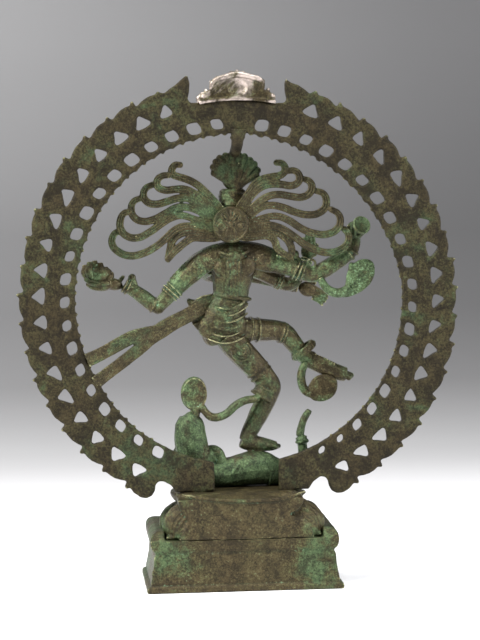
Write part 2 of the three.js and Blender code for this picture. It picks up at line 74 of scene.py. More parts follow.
def addLight(name, place, size, power, colour=(1, 1, 1), target=(0, 0, 250)):
    bpy.ops.object.light_add(type="AREA")
    lamp = bpy.context.object
    lamp.name = name
    lamp.data.shape = "DISK"
    lamp.data.size = size
    lamp.data.energy = power
    lamp.data.color = colour
    aimAt(lamp, place, target)


# small tools for the bench

def placeOn(points, share):   # which step along a row, and how far into it
    place = share * (len(points) - 1)
    i = min(int(place), len(points) - 2)
    return i, place - i


def deselect():
    if bpy.context.mode != "OBJECT":
        bpy.ops.object.mode_set(mode="OBJECT")
    bpy.ops.object.select_all(action="DESELECT")


def choose(*pieces):
    deselect()
    for piece in pieces:
        piece.select_set(True)
    bpy.context.view_layer.objects.active = pieces[0]
    return pieces[0]


def settle(piece):   # its place goes into its mesh
    choose(piece)
    bpy.ops.object.transform_apply(location=True, rotation=True, scale=True)
    return piece


def together(name, parts):
    piece = choose(*parts)
    if len(parts) > 1:
        bpy.ops.object.join()
    piece.name = piece.data.name = name
    return piece


def applyAll(piece):
    choose(piece)
    for modifier in list(piece.modifiers):
        bpy.ops.object.modifier_apply(modifier=modifier.name)
    return piece


def ball(centre, radii, turn=(0, 0, 0), segments=24):
    deselect()
    bpy.ops.mesh.primitive_uv_sphere_add(segments=segments, ring_count=max(8, segments * 2 // 3), radius=mm)
    piece = bpy.context.object
    piece.scale = radii
    piece.rotation_euler = [math.radians(a) for a in turn]
    piece.location = Vector(centre) * mm
    return settle(piece)


def block(low, high):
    deselect()
    bpy.ops.mesh.primitive_cube_add(size=mm)
    piece = bpy.context.object
    piece.scale = Vector(high) - Vector(low)
    piece.location = (Vector(high) + Vector(low)) / 2 * mm
    return settle(piece)


def drawProfile(name, points):   # a closed section that a sweep can carry
    deselect()
    bpy.ops.curve.primitive_bezier_curve_add()
    piece = bpy.context.object
    piece.name = name
    curve = piece.data
    curve.dimensions = "2D"
    curve.splines.clear()
    spline = curve.splines.new("POLY")
    spline.points.add(len(points) - 1)
    for point, (x, y) in zip(spline.points, points):
        point.co = (x * mm, y * mm, 0, 1)
    spline.use_cyclic_u = True
    return piece


def sweep(stops, profile=None, steps=6, closed=False, tilt=0):   # each stop is x, y, z, radius
    deselect()
    bpy.ops.curve.primitive_bezier_curve_add()
    piece = bpy.context.object
    curve = piece.data
    curve.splines.clear()
    spline = curve.splines.new("BEZIER")
    spline.bezier_points.add(len(stops) - 1)
    for point, (x, y, z, radius) in zip(spline.bezier_points, stops):
        point.co = Vector((x, y, z)) * mm
        point.radius = radius
        point.tilt = tilt
        point.handle_left_type = point.handle_right_type = "AUTO"
    spline.use_cyclic_u = closed
    curve.resolution_u = steps
    curve.twist_mode = "MINIMUM"
    curve.use_fill_caps = not closed
    if profile:
        curve.bevel_mode = "OBJECT"
        curve.bevel_object = profile
    else:
        curve.bevel_depth = mm
        curve.bevel_resolution = 4
    choose(piece)
    bpy.ops.object.convert(target="MESH")
    bpy.ops.object.mode_set(mode="EDIT")
    bpy.ops.mesh.select_all(action="SELECT")
    bpy.ops.mesh.normals_make_consistent(inside=False)
    bpy.ops.object.mode_set(mode="OBJECT")
    return bpy.context.object


def cutPlate(outlines, back, front, edge=0.8, smooth=False, steps=4):   # x, z outlines, standing upright
    deselect()
    bpy.ops.curve.primitive_bezier_curve_add()
    piece = bpy.context.object
    curve = piece.data
    curve.dimensions = "2D"
    curve.fill_mode = "BOTH"
    curve.splines.clear()
    for outline in outlines:
        spline = curve.splines.new("BEZIER" if smooth else "POLY")
        points = spline.bezier_points if smooth else spline.points
        points.add(len(outline) - 1)
        for point, (x, z) in zip(points, outline):
            point.co = (x * mm, z * mm, 0) if smooth else (x * mm, z * mm, 0, 1)
            if smooth:
                point.handle_left_type = point.handle_right_type = "AUTO"
        spline.use_cyclic_u = True
    curve.resolution_u = steps
    curve.extrude = ((front - back) / 2 - edge) * mm
    curve.bevel_depth = edge * mm
    curve.bevel_resolution = 2
    curve.offset = -edge * mm
    choose(piece)
    bpy.ops.object.convert(target="MESH")
    piece = bpy.context.object
    piece.rotation_euler.x = math.pi / 2
    piece.location.y = (front + back) / 2 * mm
    return settle(piece)


def stackUp(sides, profile, share=1, middle=(0, 0), turn=0):   # extruded up through half widths
    half, z = profile[0]
    deselect()
    bpy.ops.mesh.primitive_circle_add(vertices=sides, radius=half * mm, fill_type="NGON")
    piece = bpy.context.object
    piece.rotation_euler.z = turn
    piece.location.z = z * mm
    settle(piece)
    bpy.ops.object.mode_set(mode="EDIT")
    bpy.ops.mesh.select_all(action="SELECT")
    for nextHalf, nextZ in profile[1:]:
        bpy.ops.mesh.extrude_region_move(TRANSFORM_OT_translate={"value": (0, 0, (nextZ - z) * mm)})
        grow = nextHalf / half
        bpy.ops.transform.resize(value=(grow, grow, 1), center_override=(0, 0, nextZ * mm))
        half, z = nextHalf, nextZ
    bpy.ops.mesh.select_all(action="SELECT")
    bpy.ops.mesh.normals_make_consistent(inside=False)
    bpy.ops.object.mode_set(mode="OBJECT")
    piece.scale = (1, share, 1)
    piece.location = (middle[0] * mm, middle[1] * mm, 0)
    return settle(piece)


def hoop(centre, along, radius, thick, flat=1):   # a band round a limb
    deselect()
    bpy.ops.mesh.primitive_torus_add(major_segments=36, minor_segments=10, major_radius=radius * mm,
                                     minor_radius=thick * mm)
    piece = bpy.context.object
    piece.scale = (1, 1, flat)
    piece.rotation_euler = Vector(along).to_track_quat("Z", "Y").to_euler()
    piece.location = Vector(centre) * mm
    return settle(piece)


def carve(piece, *tools, kind="DIFFERENCE"):
    for tool in tools:
        cut = piece.modifiers.new("cut", "BOOLEAN")
        cut.operation = kind
        cut.solver = "EXACT"
        cut.object = tool
        choose(piece)
        bpy.ops.object.modifier_apply(modifier=cut.name)
        bpy.data.objects.remove(tool)
    return piece


castGrain = bpy.data.textures.new("castGrain", "CLOUDS")
castGrain.noise_scale = 9 * mm


def castAsOne(name, parts, voxel=1.0, polish=3, wobble=0.35):   # the parts run together in the mould
    piece = together(name, parts)
    remesh = piece.modifiers.new("mould", "REMESH")
    remesh.mode = "VOXEL"
    remesh.voxel_size = voxel * mm
    remesh.use_smooth_shade = True
    if polish:
        smooth = piece.modifiers.new("polish", "SMOOTH")
        smooth.factor = 0.5
        smooth.iterations = polish
    if wobble:
        uneven = piece.modifiers.new("uneven", "DISPLACE")
        uneven.texture = castGrain
        uneven.texture_coords = "LOCAL"
        uneven.strength = wobble * mm * 2
        uneven.mid_level = 0.5
    applyAll(piece)
    print("cast", name, len(piece.data.polygons))
    return piece


def fit(piece, material, slot, *nodes):
    choose(piece)
    bpy.ops.object.shade_smooth_by_angle(angle=math.radians(50))
    piece.data.materials.clear()
    piece.data.materials.append(material)
    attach(piece, "root")
    if nodes:
        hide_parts(*nodes)
    return piece


# finishes

class Sock:   # a socket that sums can be written with
    def __init__(self, paint, link):
        self.paint, self.link = paint, link

    def sum(self, operation, left, right):
        return self.paint.node("ShaderNodeMath", {"operation": operation}, {0: left, 1: right})

    def __add__(self, other): return self.sum("ADD", self, other)
    def __radd__(self, other): return self.sum("ADD", other, self)
    def __sub__(self, other): return self.sum("SUBTRACT", self, other)
    def __rsub__(self, other): return self.sum("SUBTRACT", other, self)
    def __mul__(self, other): return self.sum("MULTIPLY", self, other)
    def __rmul__(self, other): return self.sum("MULTIPLY", other, self)


class Paint:   # one material and its nodes
    def __init__(self, name):
        self.material = bpy.data.materials.new(name)
        self.material.use_nodes = True
        self.tree = self.material.node_tree
        self.shader = self.tree.nodes["Principled BSDF"]

    def node(self, kind, settings=None, inputs=None, output=0):
        made = self.tree.nodes.new(kind)
        for key, value in (settings or {}).items():
            if key == "stops":
                while len(made.color_ramp.elements) < len(value):
                    made.color_ramp.elements.new(0.5)
                for stop, (place, colour) in zip(made.color_ramp.elements, value):
                    stop.position = place
                    stop.color = (*colour, 1) if isinstance(colour, tuple) else (colour, colour, colour, 1)
            else:
                setattr(made, key, value)
        for key, value in (inputs or {}).items():
            self.put(made.inputs[key], value)
        return Sock(self, made.outputs[output])

    def put(self, socket, value):
        if isinstance(value, Sock):
            self.tree.links.new(value.link, socket)
        elif isinstance(value, tuple) and len(value) == 3 and socket.type == "RGBA":
            socket.default_value = (*value, 1)
        else:
            socket.default_value = value

    def noise(self, place, scale, detail=4, roughness=0.6, distortion=0):
        return self.node("ShaderNodeTexNoise", {}, {"Vector": place, "Scale": scale, "Detail": detail,
                                                    "Roughness": roughness, "Distortion": distortion})

    def step(self, value, low, high):   # 0 below low, 1 above high
        return self.node("ShaderNodeMapRange", {"interpolation_type": "SMOOTHSTEP"},
                         {"Value": value, "From Min": low, "From Max": high})

    def mix(self, share, first, second):
        return self.node("ShaderNodeMix", {"data_type": "RGBA"}, {0: share, 6: first, 7: second}, 2)


patina = {
    "brown": (0.068, 0.052, 0.024), "darkBrown": (0.017, 0.0135, 0.0075), "olive": (0.118, 0.115, 0.046),
    "green": (0.068, 0.110, 0.050), "deepGreen": (0.011, 0.024, 0.013), "verdigris": (0.158, 0.300, 0.195),
    # the pale tan of rubbed edges, which also serves as a painted highlight on raised edges
    "wornAndHighlight": (0.37, 0.36, 0.20), "bare": (0.52, 0.44, 0.40),
}


def patinated(name, green, verdigris, wornAndHighlight, shine=0.5, bare=0.0, grain=1.0, light=1.0, brownMiddle=0.0,
              blotch=0.45):
    def shade(key):
        return tuple(channel * light for channel in patina[key])
    paint = Paint(name)
    place = paint.node("ShaderNodeTexCoord", output=3)
    cloud = paint.noise(place, 20, 5, 0.62, 0.5)
    patch = paint.noise(place, 105, 6, 0.72, 0.4)
    speck = paint.noise(place, 480, 5, 0.78)
    dust = paint.noise(place, 1200, 3, 0.6)
    bend = paint.node("ShaderNodeNewGeometry", output=7)
    proud = paint.step(bend, 0.505, 0.60)
    # concave places found by pointiness: verdigris crust gathers there, and painted shade darkens them
    # further below
    deep = 1 - paint.step(bend, 0.435, 0.499)
    field = cloud * 0.6 + patch * 0.4
    if brownMiddle:   # handled most at the middle, so it stays brown there
        across = paint.node("ShaderNodeSeparateXYZ", {}, {0: place}, 0)
        middle = 1 - paint.step(across * across + (speck - 0.5) * 0.004, 0.0006, 0.0040)
        field = field - middle * brownMiddle
    greenMask = paint.step(field, 0.60 - green * 0.24, 0.72 - green * 0.24)
    dark = paint.step(patch * 0.5 + speck * 0.5, 0.38, 0.60)
    colour = paint.mix(dark, shade("darkBrown"), shade("brown"))
    aged = paint.step(cloud * 0.5 + speck * 0.5, 0.44, 0.66) * 0.75
    colour = paint.mix(aged * (1 - middle * 0.75) if brownMiddle else aged, colour, shade("olive"))
    greens = paint.mix(dark, shade("deepGreen"), shade("green"))
    greens = paint.mix(paint.step(speck * 0.6 + patch * 0.4, 0.52, 0.7) * 0.6, greens, shade("olive"))
    colour = paint.mix(greenMask * 0.9, colour, greens)
    crust = paint.step(patch * 0.36 + speck * 0.64 + deep * 0.13, 0.66 - verdigris * 0.16,
                       0.78 - verdigris * 0.14)
    colour = paint.mix(crust * 0.8, colour, shade("verdigris"))
    # hollows darkened toward deep green: partly dark patina in the hollows, partly painted shade standing
    # in for ambient occlusion
    colour = paint.mix(deep * (1 - crust * 0.7) * 0.85, colour, shade("deepGreen"))
    # pale tan on raised edges found by pointiness: partly rubbed wear, partly painted highlight where light
    # catches the edges
    rubAndHighlight = paint.step(proud * 0.6 + patch * 0.3 + speck * 0.2, 0.60 - wornAndHighlight * 0.22, 0.88 - wornAndHighlight * 0.2)
    colour = paint.mix(rubAndHighlight * 0.75, colour, shade("wornAndHighlight"))
    if bare:
        clean = paint.step(proud * 0.3 + cloud * 0.65, 0.53 - bare * 0.3, 0.62 - bare * 0.3)
        colour = paint.mix(clean * 0.9, colour, patina["bare"])
    stain = paint.noise(place, 48, 5, 0.7, 0.8)   # older, darker handling in blotches
    colour = paint.mix((1 - paint.step(stain * 0.7 + speck * 0.3, 0.40, 0.56)) * blotch, colour,
                       shade("darkBrown"))
    paint.shader.inputs["Specular IOR Level"].default_value = 0.22
    paint.put(paint.shader.inputs["Base Color"], colour)
    paint.put(paint.shader.inputs["Metallic"], 0.5 - crust * 0.4 + rubAndHighlight * 0.2 + (clean * 0.3 if bare else 0))
    paint.put(paint.shader.inputs["Roughness"],
              0.54 - shine * 0.32 + crust * 0.22 + speck * 0.16 - rubAndHighlight * 0.1)
    relief = speck * 0.7 + dust * 0.25 + patch * 0.6 + crust * 0.3
    bump = paint.node("ShaderNodeBump", {},
                      {"Height": relief, "Strength": 0.75 * grain, "Distance": 1.1 * mm})
    paint.put(paint.shader.inputs["Normal"], bump)
    return paint.material


ringFinish = patinated("brownRingPatina", green=0.36, verdigris=0.3, wornAndHighlight=0.08, shine=0.38,
                       light=0.56, blotch=0.8)
figureFinish = patinated("greenFigurePatina", green=0.66, verdigris=0.64, wornAndHighlight=0.95, shine=0.75,
                         light=1.3, blotch=0.6)
bodyFinish = patinated("brownBodyPatina", green=0.58, verdigris=0.6, wornAndHighlight=0.9, shine=0.7, light=0.95,
                       blotch=0.65)
hoodFinish = patinated("paleHoodPatina", green=0.8, verdigris=0.85, wornAndHighlight=0.95, shine=0.6,
                       light=1.6, blotch=0.3)
hairFinish = patinated("brownGreenHair", green=0.48, verdigris=0.56, wornAndHighlight=1.05, shine=0.6, light=0.95,
                       blotch=0.55)
baseFinish = patinated("pedestalPatina", green=0.58, verdigris=0.5, wornAndHighlight=0.75, shine=0.45, light=1.05,
                       brownMiddle=0.13, blotch=0.65)
crestFinish = patinated("darkGreenCrest", green=0.62, verdigris=0.4, wornAndHighlight=0.4, shine=0.4, light=0.8)
bellyFinish = patinated("deepGreenDwarf", green=0.85, verdigris=0.62, wornAndHighlight=0.6, shine=0.5, light=1.1)
finialFinish = patinated("rubbedFinial", green=0.5, verdigris=0.5, wornAndHighlight=0.9, shine=0.7, bare=0.8,
                         grain=0.7, blotch=0.5)
print("finishes ready")


# ring of flames

ring = {
    "centre": (0, 292), "inner": 164.5, "back": -39, "front": -32,
    "firstFlame": 20.8, "pitch": 7.5, "flames": 18, "firstInner": 7.2, "innerPitch": 7.6, "inners": 20,
    "flameHole": [(-2.3, 194.6), (-2.1, 198), (-1.3, 202.5), (-0.5, 206.4), (0.0, 208.6), (0.5, 206),
                  (1.3, 202.4), (2.4, 198.6), (3.2, 195.4), (2.6, 194), (0.4, 193.2)],
    "innerHole": [(-1.7, 178.4), (0.3, 178.8), (1.3, 178), (1.7, 174.6), (1.9, 171.2), (1.4, 169.6),
                  (-0.3, 169.2), (-1.4, 170.4), (-1.8, 174.2)],
    "valley": [(2.4, 218.6), (3.8, 218.4), (5.2, 216.9), (6.4, 215), (7.0, 214.2)],
    "lastFlame": [(150.6, 220.8), (152.6, 221.8), (154.2, 220), (155.2, 215.5), (155.3, 209), (154.9, 204),
                  (155.3, 199.5), (156.5, 197.6)],
    "rightFoot": [(72, 106), (67, 98.4), (37, 98.4), (37, 129)],
    "leftFoot": [(-28, 127.6), (-28, 98.4), (-67, 98.4), (-72, 106)],
    # degrees, radius, thickness
    "tongue": [(2.0, 199, 1.5), (0.6, 206, 1.8), (-1.6, 212, 1.4), (-2.6, 216, 0.7)],
}


def onRing(degrees, radius):
    turn = math.radians(degrees)
    return (radius * math.sin(turn), ring["centre"][1] + radius * math.cos(turn))


def flameEdge(side):   # outer edge from the finial's seat down to the foot
    edge = [(a, 197) for a in (1, 3, 5, 7, 9)] + [(11.4, 197.4), (13.6, 199.5), (13.9, 203.5)]
    tall = 227 if side < 0 else 223
    edge += [(13.1, 210), (12.5, 218), (12.5, tall), (14, tall - 2.5), (16.2, 221), (18.2, 218.5),
             (19.6, 216.2)]
    for i in range(ring["flames"]):
        tip = ring["firstFlame"] + ring["pitch"] * i - 0.4 * (i > 0)
        size = 0.6 * math.sin(i * 2.3 + side)
        edge += [(tip - 0.1, 219.6 + size), (tip + 0.15, 221.0 + size), (tip + 0.6, 220.0 + size),
                 (tip + 1.1, 218.0)]
        if i < ring["flames"] - 1:
            edge += [(tip + a, r + size * 0.5) for a, r in ring["valley"]]
    edge += ring["lastFlame"]
    def uneven(a):
        if side < 0:
            return 3.4 * math.sin(math.pi * (a - 16) / 62) if 16 < a < 78 else 1.0
        return 4.2 * math.sin(math.pi * (a - 92) / 66) if 92 < a < 156 else -1.2 * (16 < a < 80)
    return [onRing(side * a, r + uneven(a)) for a, r in edge]


def innerSwell(a):   # the inner edge is not quite round
    if 3 < a < 87:
        return 5.4 * math.sin(math.pi * (a - 3) / 84)
    if a > 96:
        return -2.6 * math.sin(math.pi * min(a - 96, 40) / 80)
    return -2.2 * math.sin(math.pi * min(-a - 122, 24) / 48) if a < -122 else 0


def innerEdge():
    rim = []
    start, end = -170.2, 167.0
    count = int((end - start) / 1.24)
    for i in range(count + 1):
        a = start + (end - start) * i / count
        phase = (a + 3.6) % ring["pitch"]
        bump = 2.6 * math.exp(-((phase - 3.75) / 0.42) ** 2) + 0.9 * math.exp(-((phase - 1.2) / 0.5) ** 2)
        thick = innerSwell(a)
        rim.append(onRing(a, ring["inner"] - thick - bump * (0.8 + 0.3 * math.sin(a * 0.9))))
    return rim


def cutRing():
    right, left = flameEdge(1), flameEdge(-1)
    return right + ring["rightFoot"] + innerEdge()[::-1] + ring["leftFoot"] + left[::-1]


def lateTurn(side, i, last):   # the right half's holes sit further round
    return 0.8 + 2.4 * math.sin(math.pi * i / last) if side > 0 else 0


def flameHole(side, i):
    middle = ring["firstFlame"] + ring["pitch"] * i + lateTurn(side, i, ring["flames"] - 1)
    wide = 0.84 + 0.12 * math.sin(i * 1.7 + side)
    lean = 0.7 * math.sin(i * 0.9 + 1 + side)
    return [onRing(side * (middle + a * wide + lean * (r - 200) / 12),
                   200 + (r - 200) * 0.92 + 0.7 * math.sin(i * 3.1)) for a, r in ring["flameHole"]]


def innerHole(side, i):
    middle = ring["firstInner"] + ring["innerPitch"] * i + lateTurn(side, i, ring["inners"] - 1)
    middle += -0.8 * math.sin(math.pi * min(i, 9) / 9) if side > 0 else -0.4
    late = i > 17 and side > 0
    size = 0.7 if late else 1.04 + 0.1 * math.sin(i * 2.1 + side) + 0.13 * (i < 9)
    seat = 174.4 - (4.6 * math.sin(math.pi * min(i + 1, 11) / 11) if side > 0 else 0)
    return [onRing(side * (middle + a * size + (r - 174) * 0.15), seat + (r - 174) * size)
            for a, r in ring["innerHole"]]


def makeRing():
    holes = [flameHole(side, i) for side in (-1, 1) for i in range(ring["flames"])]
    holes += [innerHole(side, i) for side in (-1, 1) for i in range(ring["inners"])]
    plate = cutPlate([cutRing()], ring["back"], ring["front"], edge=0.5)
    tools = cutPlate(holes, ring["back"] - 3, ring["front"] + 3, edge=0.1)
    carve(plate, tools)
    parts = [plate]
    for radius, depth in ((181.4, -32.2), (191.6, -32.2), (166.6, -32.0)):   # raised lines on the front
        arc = [onRing(a, radius - 1.2 - innerSwell(a) if radius < 170 else radius)
               for a in range(-152, 153, 4)]
        parts.append(sweep([(x, depth, z, 1.15) for x, z in arc], steps=2))
    for side in (-1, 1):
        for i in range(ring["flames"]):   # a tongue of relief on each flame
            middle = ring["firstFlame"] + ring["pitch"] * i + 3.6
            line = [(*onRing(side * (middle + a), r), w) for a, r, w in ring["tongue"]]
            parts.append(sweep([(x, -32.2, z, w) for x, z, w in line], steps=3))
    for side in (-1, 1):
        parts.append(block((side * 44 - 5.5, -39, 87), (side * 44 + 5.5, -32, 104)))
    for side in (-1, 1):
        for i in range(ring["flames"] * 2 + 5):   # small nubs on the inner edge
            a = 4.6 + i * 3.75
            thick = innerSwell(side * a)
            if a < 150:
                x, z = onRing(side * a, 163.8 - thick)
                parts.append(ball((x, -37.5, z), (1.8, 2, 1.8), segments=10))
    return castAsOne("flameRing", parts, voxel=1.36, polish=1, wobble=0.4)


fit(makeRing(), ringFinish, "patina_dark", "flame_ring")
print("ring done")


# plinth and lotus

plinth = {
    "foot": [(98.0, 0.2), (98.8, 1.2), (98.8, 4.6), (98.0, 5.8), (95.0, 6.8), (94.2, 8), (95.0, 9.6),
             (94.2, 13), (93.0, 19), (91.8, 26), (91.2, 36), (90.2, 37.4), (89.6, 39), (90.4, 40.6),
             (92.6, 42.4), (94.2, 46), (94.8, 50.4), (94.2, 55), (92.0, 58.6), (88, 60.6), (84, 61),
             (80, 61)],
    "share": 0.609, "back": -56.4, "deck": 52,
    "flare": [(-54.4, 10.4, 3.6), (-54.2, 14.4, 3.2), (-54, 19, 2.8), (-58.4, 4.2, 2.2)],   # y, z, radius
}


def makePlinth():
    body = stackUp(4, [(half * math.sqrt(2), z) for half, z in plinth["foot"]], share=plinth["share"],
                   turn=math.pi / 4, middle=(0.7, 0))
    back, deck = plinth["back"], plinth["deck"]
    recess = block((-79.4, -48.6, deck), (79.4, 48.6, 70))
    shelf = block((-80, -75, deck), (80, -48, 70))
    flatBack = block((-120, -80, 39), (120, back, 90))
    hollow = block((-86, -51, -5), (86, 51, 46))
    body = carve(body, recess, shelf, flatBack, hollow)
    shoulder = block((-130, -20, -12), (130, 20, 12))
    shoulder.rotation_euler.x = math.radians(44)
    shoulder.location = Vector((0, -58.9, 66)) * mm
    body = carve(body, settle(shoulder))
    flare = [sweep([(-93, y, z, r), (93, y, z, r)]) for y, z, r in plinth["flare"]]
    soft = body.modifiers.new("softEdges", "BEVEL")
    soft.width = 0.8 * mm
    soft.segments = 2
    soft.limit_method = "ANGLE"
    applyAll(body)
    return castAsOne("plinthShell", [body] + flare, voxel=1.15, polish=1, wobble=0.4)


lotus = {
    "body": [(76, 52.3), (78.6, 55), (79.6, 60), (79, 66), (76, 72), (71, 77), (66, 80.5), (62, 83),
             (61, 85), (62, 88), (65, 91), (67.5, 92.6), (68.6, 93)],
    "share": 0.64, "middle": -11,
    "panel": [(-66, 52.4), (-63, 57), (-60, 63), (-57, 69), (-57, 74), (-61, 79), (-65, 86), (-66, 93),
              (60, 93), (59, 86), (53.6, 80.6), (46, 77), (45, 75.6), (56, 72), (64, 65), (69, 57),
              (70, 52.4)],
    "drip": [(-62, 98.6), (-50, 96.4), (-34, 94.2), (-14, 92.4), (8, 91.6), (30, 92.4), (46, 94.6),
             (56, 97.4), (62, 98.8)],
    "slope": 7, "ledge": 98.4, "petals": 18,
    "rear": [   # right and left, each by its inner and outer edge
        ([(45, 76), (57, 73), (65.5, 65), (70, 54.4)],
         [(55, 86), (65.6, 82.4), (75.4, 75.4), (78.6, 67), (78.6, 60), (77, 54.6)]),
        ([(-46, 76), (-56, 72), (-61, 65), (-66, 54.4)],
         [(-60, 86), (-68, 80.6), (-74.6, 75), (-77, 67), (-77, 60), (-75.4, 54.4)])],
    # z and share of the width
    "lower": [(81.5, 0.34), (79, 0.7), (74, 0.98), (67, 1.0), (60, 0.8), (56, 0.45), (54.4, 0.1)],
    "upper": [(83.5, 0.4), (85.5, 0.8), (87.6, 1.0), (90, 0.8), (92, 0.3)],
    "tier": [(47, 75.6), (54, 78.6), (59, 82.6), (62, 87), (63.6, 91), (64.2, 95), (63, 97)],
    "lip": [(60, 85), (64, 88), (66.2, 91), (67.2, 94), (66.8, 96.4), (65.4, 97.6), (63, 98)],
}


def lotusAt(degrees, z, proud=0):   # a point on the lotus skin
    steps = lotus["body"]
    for (h0, z0), (h1, z1) in zip(steps, steps[1:]):
        if z <= z1 or z1 == steps[-1][1]:
            k = max(0, min(1, (z - z0) / (z1 - z0)))
            half = h0 + (h1 - h0) * k + proud
            break
    turn = math.radians(degrees)
    return (half * math.sin(turn), lotus["middle"] + half * lotus["share"] * math.cos(turn), z)


def petal(middle, width, rows, thick):   # rims and ribs that follow a drooping petal
    parts = []
    for share, bold in ((1, 1), (0.72, 0.7), (0.42, 0.7), (-0.42, 0.7), (-0.72, 0.7), (-1, 1)):
        line = [(*lotusAt(middle + width * w * share, z, 0.5), thick * bold) for z, w in rows]
        parts.append(sweep(line, steps=3))
    swell = [(*lotusAt(middle, z, -3.4), 2.2 + 5.8 * w) for z, w in rows[1:-1]]
    parts.append(sweep(swell, steps=3))
    return parts


def spot(points, share):
    i, part = placeOn(points, share)
    return [p + (q - p) * part for p, q in zip(points[i], points[i + 1])]


def makeLotus():
    body = stackUp(96, lotus["body"], share=lotus["share"], middle=(0, lotus["middle"]))
    panel = cutPlate([lotus["panel"]], -57, -30, edge=1)
    parts = [body, panel, block((-78, -50, 52.4), (78, 46, 55.6))]
    for near, far in lotus["rear"]:   # ribbed petals that droop over the plinth
        for k in range(5):
            share, rib = k / 4, []
            for j in range(5):
                inside, outside = spot(near, j / 4), spot(far, j / 4)
                x, z = [p * (1 - share) + q * share for p, q in zip(inside, outside)]
                swell = math.sin(math.pi * (0.15 + 0.7 * j / 4))
                rib.append((x, -49.6 - 4.4 * swell + 9 * share ** 2, z, 0.85 + 0.35 * swell))
            parts += [sweep(rib, steps=4), sweep([(x, y + 5.6, z, 4.4) for x, y, z, _ in rib], steps=3)]
    for i in range(lotus["petals"]):
        middle = 10 + 360 / lotus["petals"] * i
        if math.cos(math.radians(middle)) > -0.62:
            parts += petal(middle, 9.4, lotus["lower"], 1.05)
            if math.cos(math.radians(middle)) > -0.5:
                parts += petal(middle + 10, 8.0, lotus["upper"], 0.8)
    parts.append(stackUp(96, lotus["tier"], share=0.84, middle=(-3.6, -13)))
    lip = stackUp(96, lotus["lip"], share=0.72, middle=(-4.2, -14))
    solid = castAsOne("lotusPedestal", parts + [lip], voxel=0.95, polish=0, wobble=0)
    line = [(x, z + lotus["slope"]) for x, z in lotus["drip"]]   # the lip's top slopes down to the back
    drip = cutPlate([[(-120, 106)] + line + [(120, 106), (120, 150), (-120, 150)]], -95, -38, edge=0.2)
    # turned about a line this deep and high
    tilt, depth, height = math.atan2(lotus["slope"], 19), 39, lotus["ledge"]
    drip.rotation_euler.x = tilt
    drip.location = Vector((0, -depth + depth * math.cos(tilt) + height * math.sin(tilt),
                            height + depth * math.sin(tilt) - height * math.cos(tilt))) * mm
    settle(drip)
    carve(solid, block((-120, -120, 40), (120, -57, 120)), block((-120, -120, 40), (120, 120, 52.4)), drip)
    reach = lotus["drip"][-1][0]
    ledge = sweep([(x, -58.4 + 1.6 * (x / reach) ** 2 + 6 * (x / reach) ** 6, z - 0.6,
                    1.9 - 1.1 * (x / reach) ** 4) for x, z in lotus["drip"]], steps=4)
    hollow = stackUp(48, [(50, 45), (50, 84), (42, 89.6)], share=lotus["share"], middle=(0, -14))
    whole = castAsOne("lotusPedestal", [solid, ledge], voxel=0.85, polish=1, wobble=0.3)
    return carve(whole, hollow)


fit(makePlinth(), baseFinish, "patina_dark", "plinth_shell")
fit(makeLotus(), baseFinish, "patina_green", "lotus_pedestal")
print("pedestal done")


# the finial on top of the ring

finial = {
    "outline": [(-40, 486), (-41, 492), (-36, 497), (-30, 497.5), (-26.5, 500), (-26, 507), (-20, 511),
                (-13.5, 512), (-9, 516), (0, 517.6), (9, 516), (13, 511.6), (20, 510.5), (25.5, 508),
                (25, 500), (29, 498), (34, 496), (37, 490), (36, 486)],
    "seat": [(24, 487.6), (12, 489.2), (0, 489.8), (-12, 489.2), (-26, 487.4)],
    "curls": [(-26, 507), (-20, 511), (-12.5, 513), (-5.6, 516), (0, 517.2), (6, 516), (13, 512.6),
              (20, 510.5), (26, 507.4), (-31, 498.6), (31, 499)],
    # x, z and half sizes
    "lobes": [(0, 502, 9, 11), (-17, 500, 7, 8), (17, 500, 7, 8), (-30, 493, 5, 4), (30, 493, 5, 4)],
}


def makeFinial():
    body = cutPlate([finial["outline"] + finial["seat"]], -41, -28, edge=2.2)
    hollow = ball((0, -43, 501), (11, 5, 9))
    side = [ball((s * 19, -43, 500), (4.2, 3, 7), turn=(0, s * 14, 0)) for s in (-1, 1)]
    body = carve(body, hollow, *side)
    rolls = [sweep([(-26, -39, 500, 2.4), (-24, -41, 507, 2.6), (-13, -42, 511.5, 2.8), (0, -42, 514, 3),
                    (13, -42, 511.5, 2.8), (24, -41, 507, 2.6), (25, -39, 500, 2.4)])]
    rolls += [sweep([(s * 30, -38, 490, 3), (s * 34, -39, 492.5, 3.4), (s * 36, -37, 489, 2.4)])
              for s in (-1, 1)]
    fillet = sweep([(x, -40.5, ring["centre"][1] + math.sqrt(198.2 ** 2 - x * x), 1.9)
                    for x in range(-38, 39, 4)], steps=3)
    rolls += [ball((x, -36, z), (2.0, 5, 2.0), segments=12) for x, z in finial["curls"]]
    lobes = [ball((x, -27, z), (w, 4.5, h)) for x, z, w, h in finial["lobes"]]
    return castAsOne("ringFinial", [body, fillet] + rolls + lobes, voxel=0.8, polish=4, wobble=0.3)


fit(makeFinial(), finialFinish, "worn_bright", "ring_finial")

link = sweep([(1, -35, 460, 9), (0.5, -35, 455, 7.4), (0, -33, 449, 6.2), (-0.3, -26, 443, 5.8),
              (-1, -10, 437, 5.6)])
fit(castAsOne("crestLink", [link, hoop((0, -34, 452), (0, 0.1, 1), 6.6, 1.2)], voxel=0.8), ringFinish,
    "patina_dark", "crest_link")


# crest, disc and hair

crest = {
    "root": (0.4, 400), "tips": [(-23.2, 418), (-24, 424.5), (-21, 430), (-17, 434), (-10.5, 436.6),
                                 (-3.6, 438), (3.4, 437.6), (10, 435.4), (16, 431.4), (20.6, 427),
                                 (24, 420.4), (22.4, 415)],
}


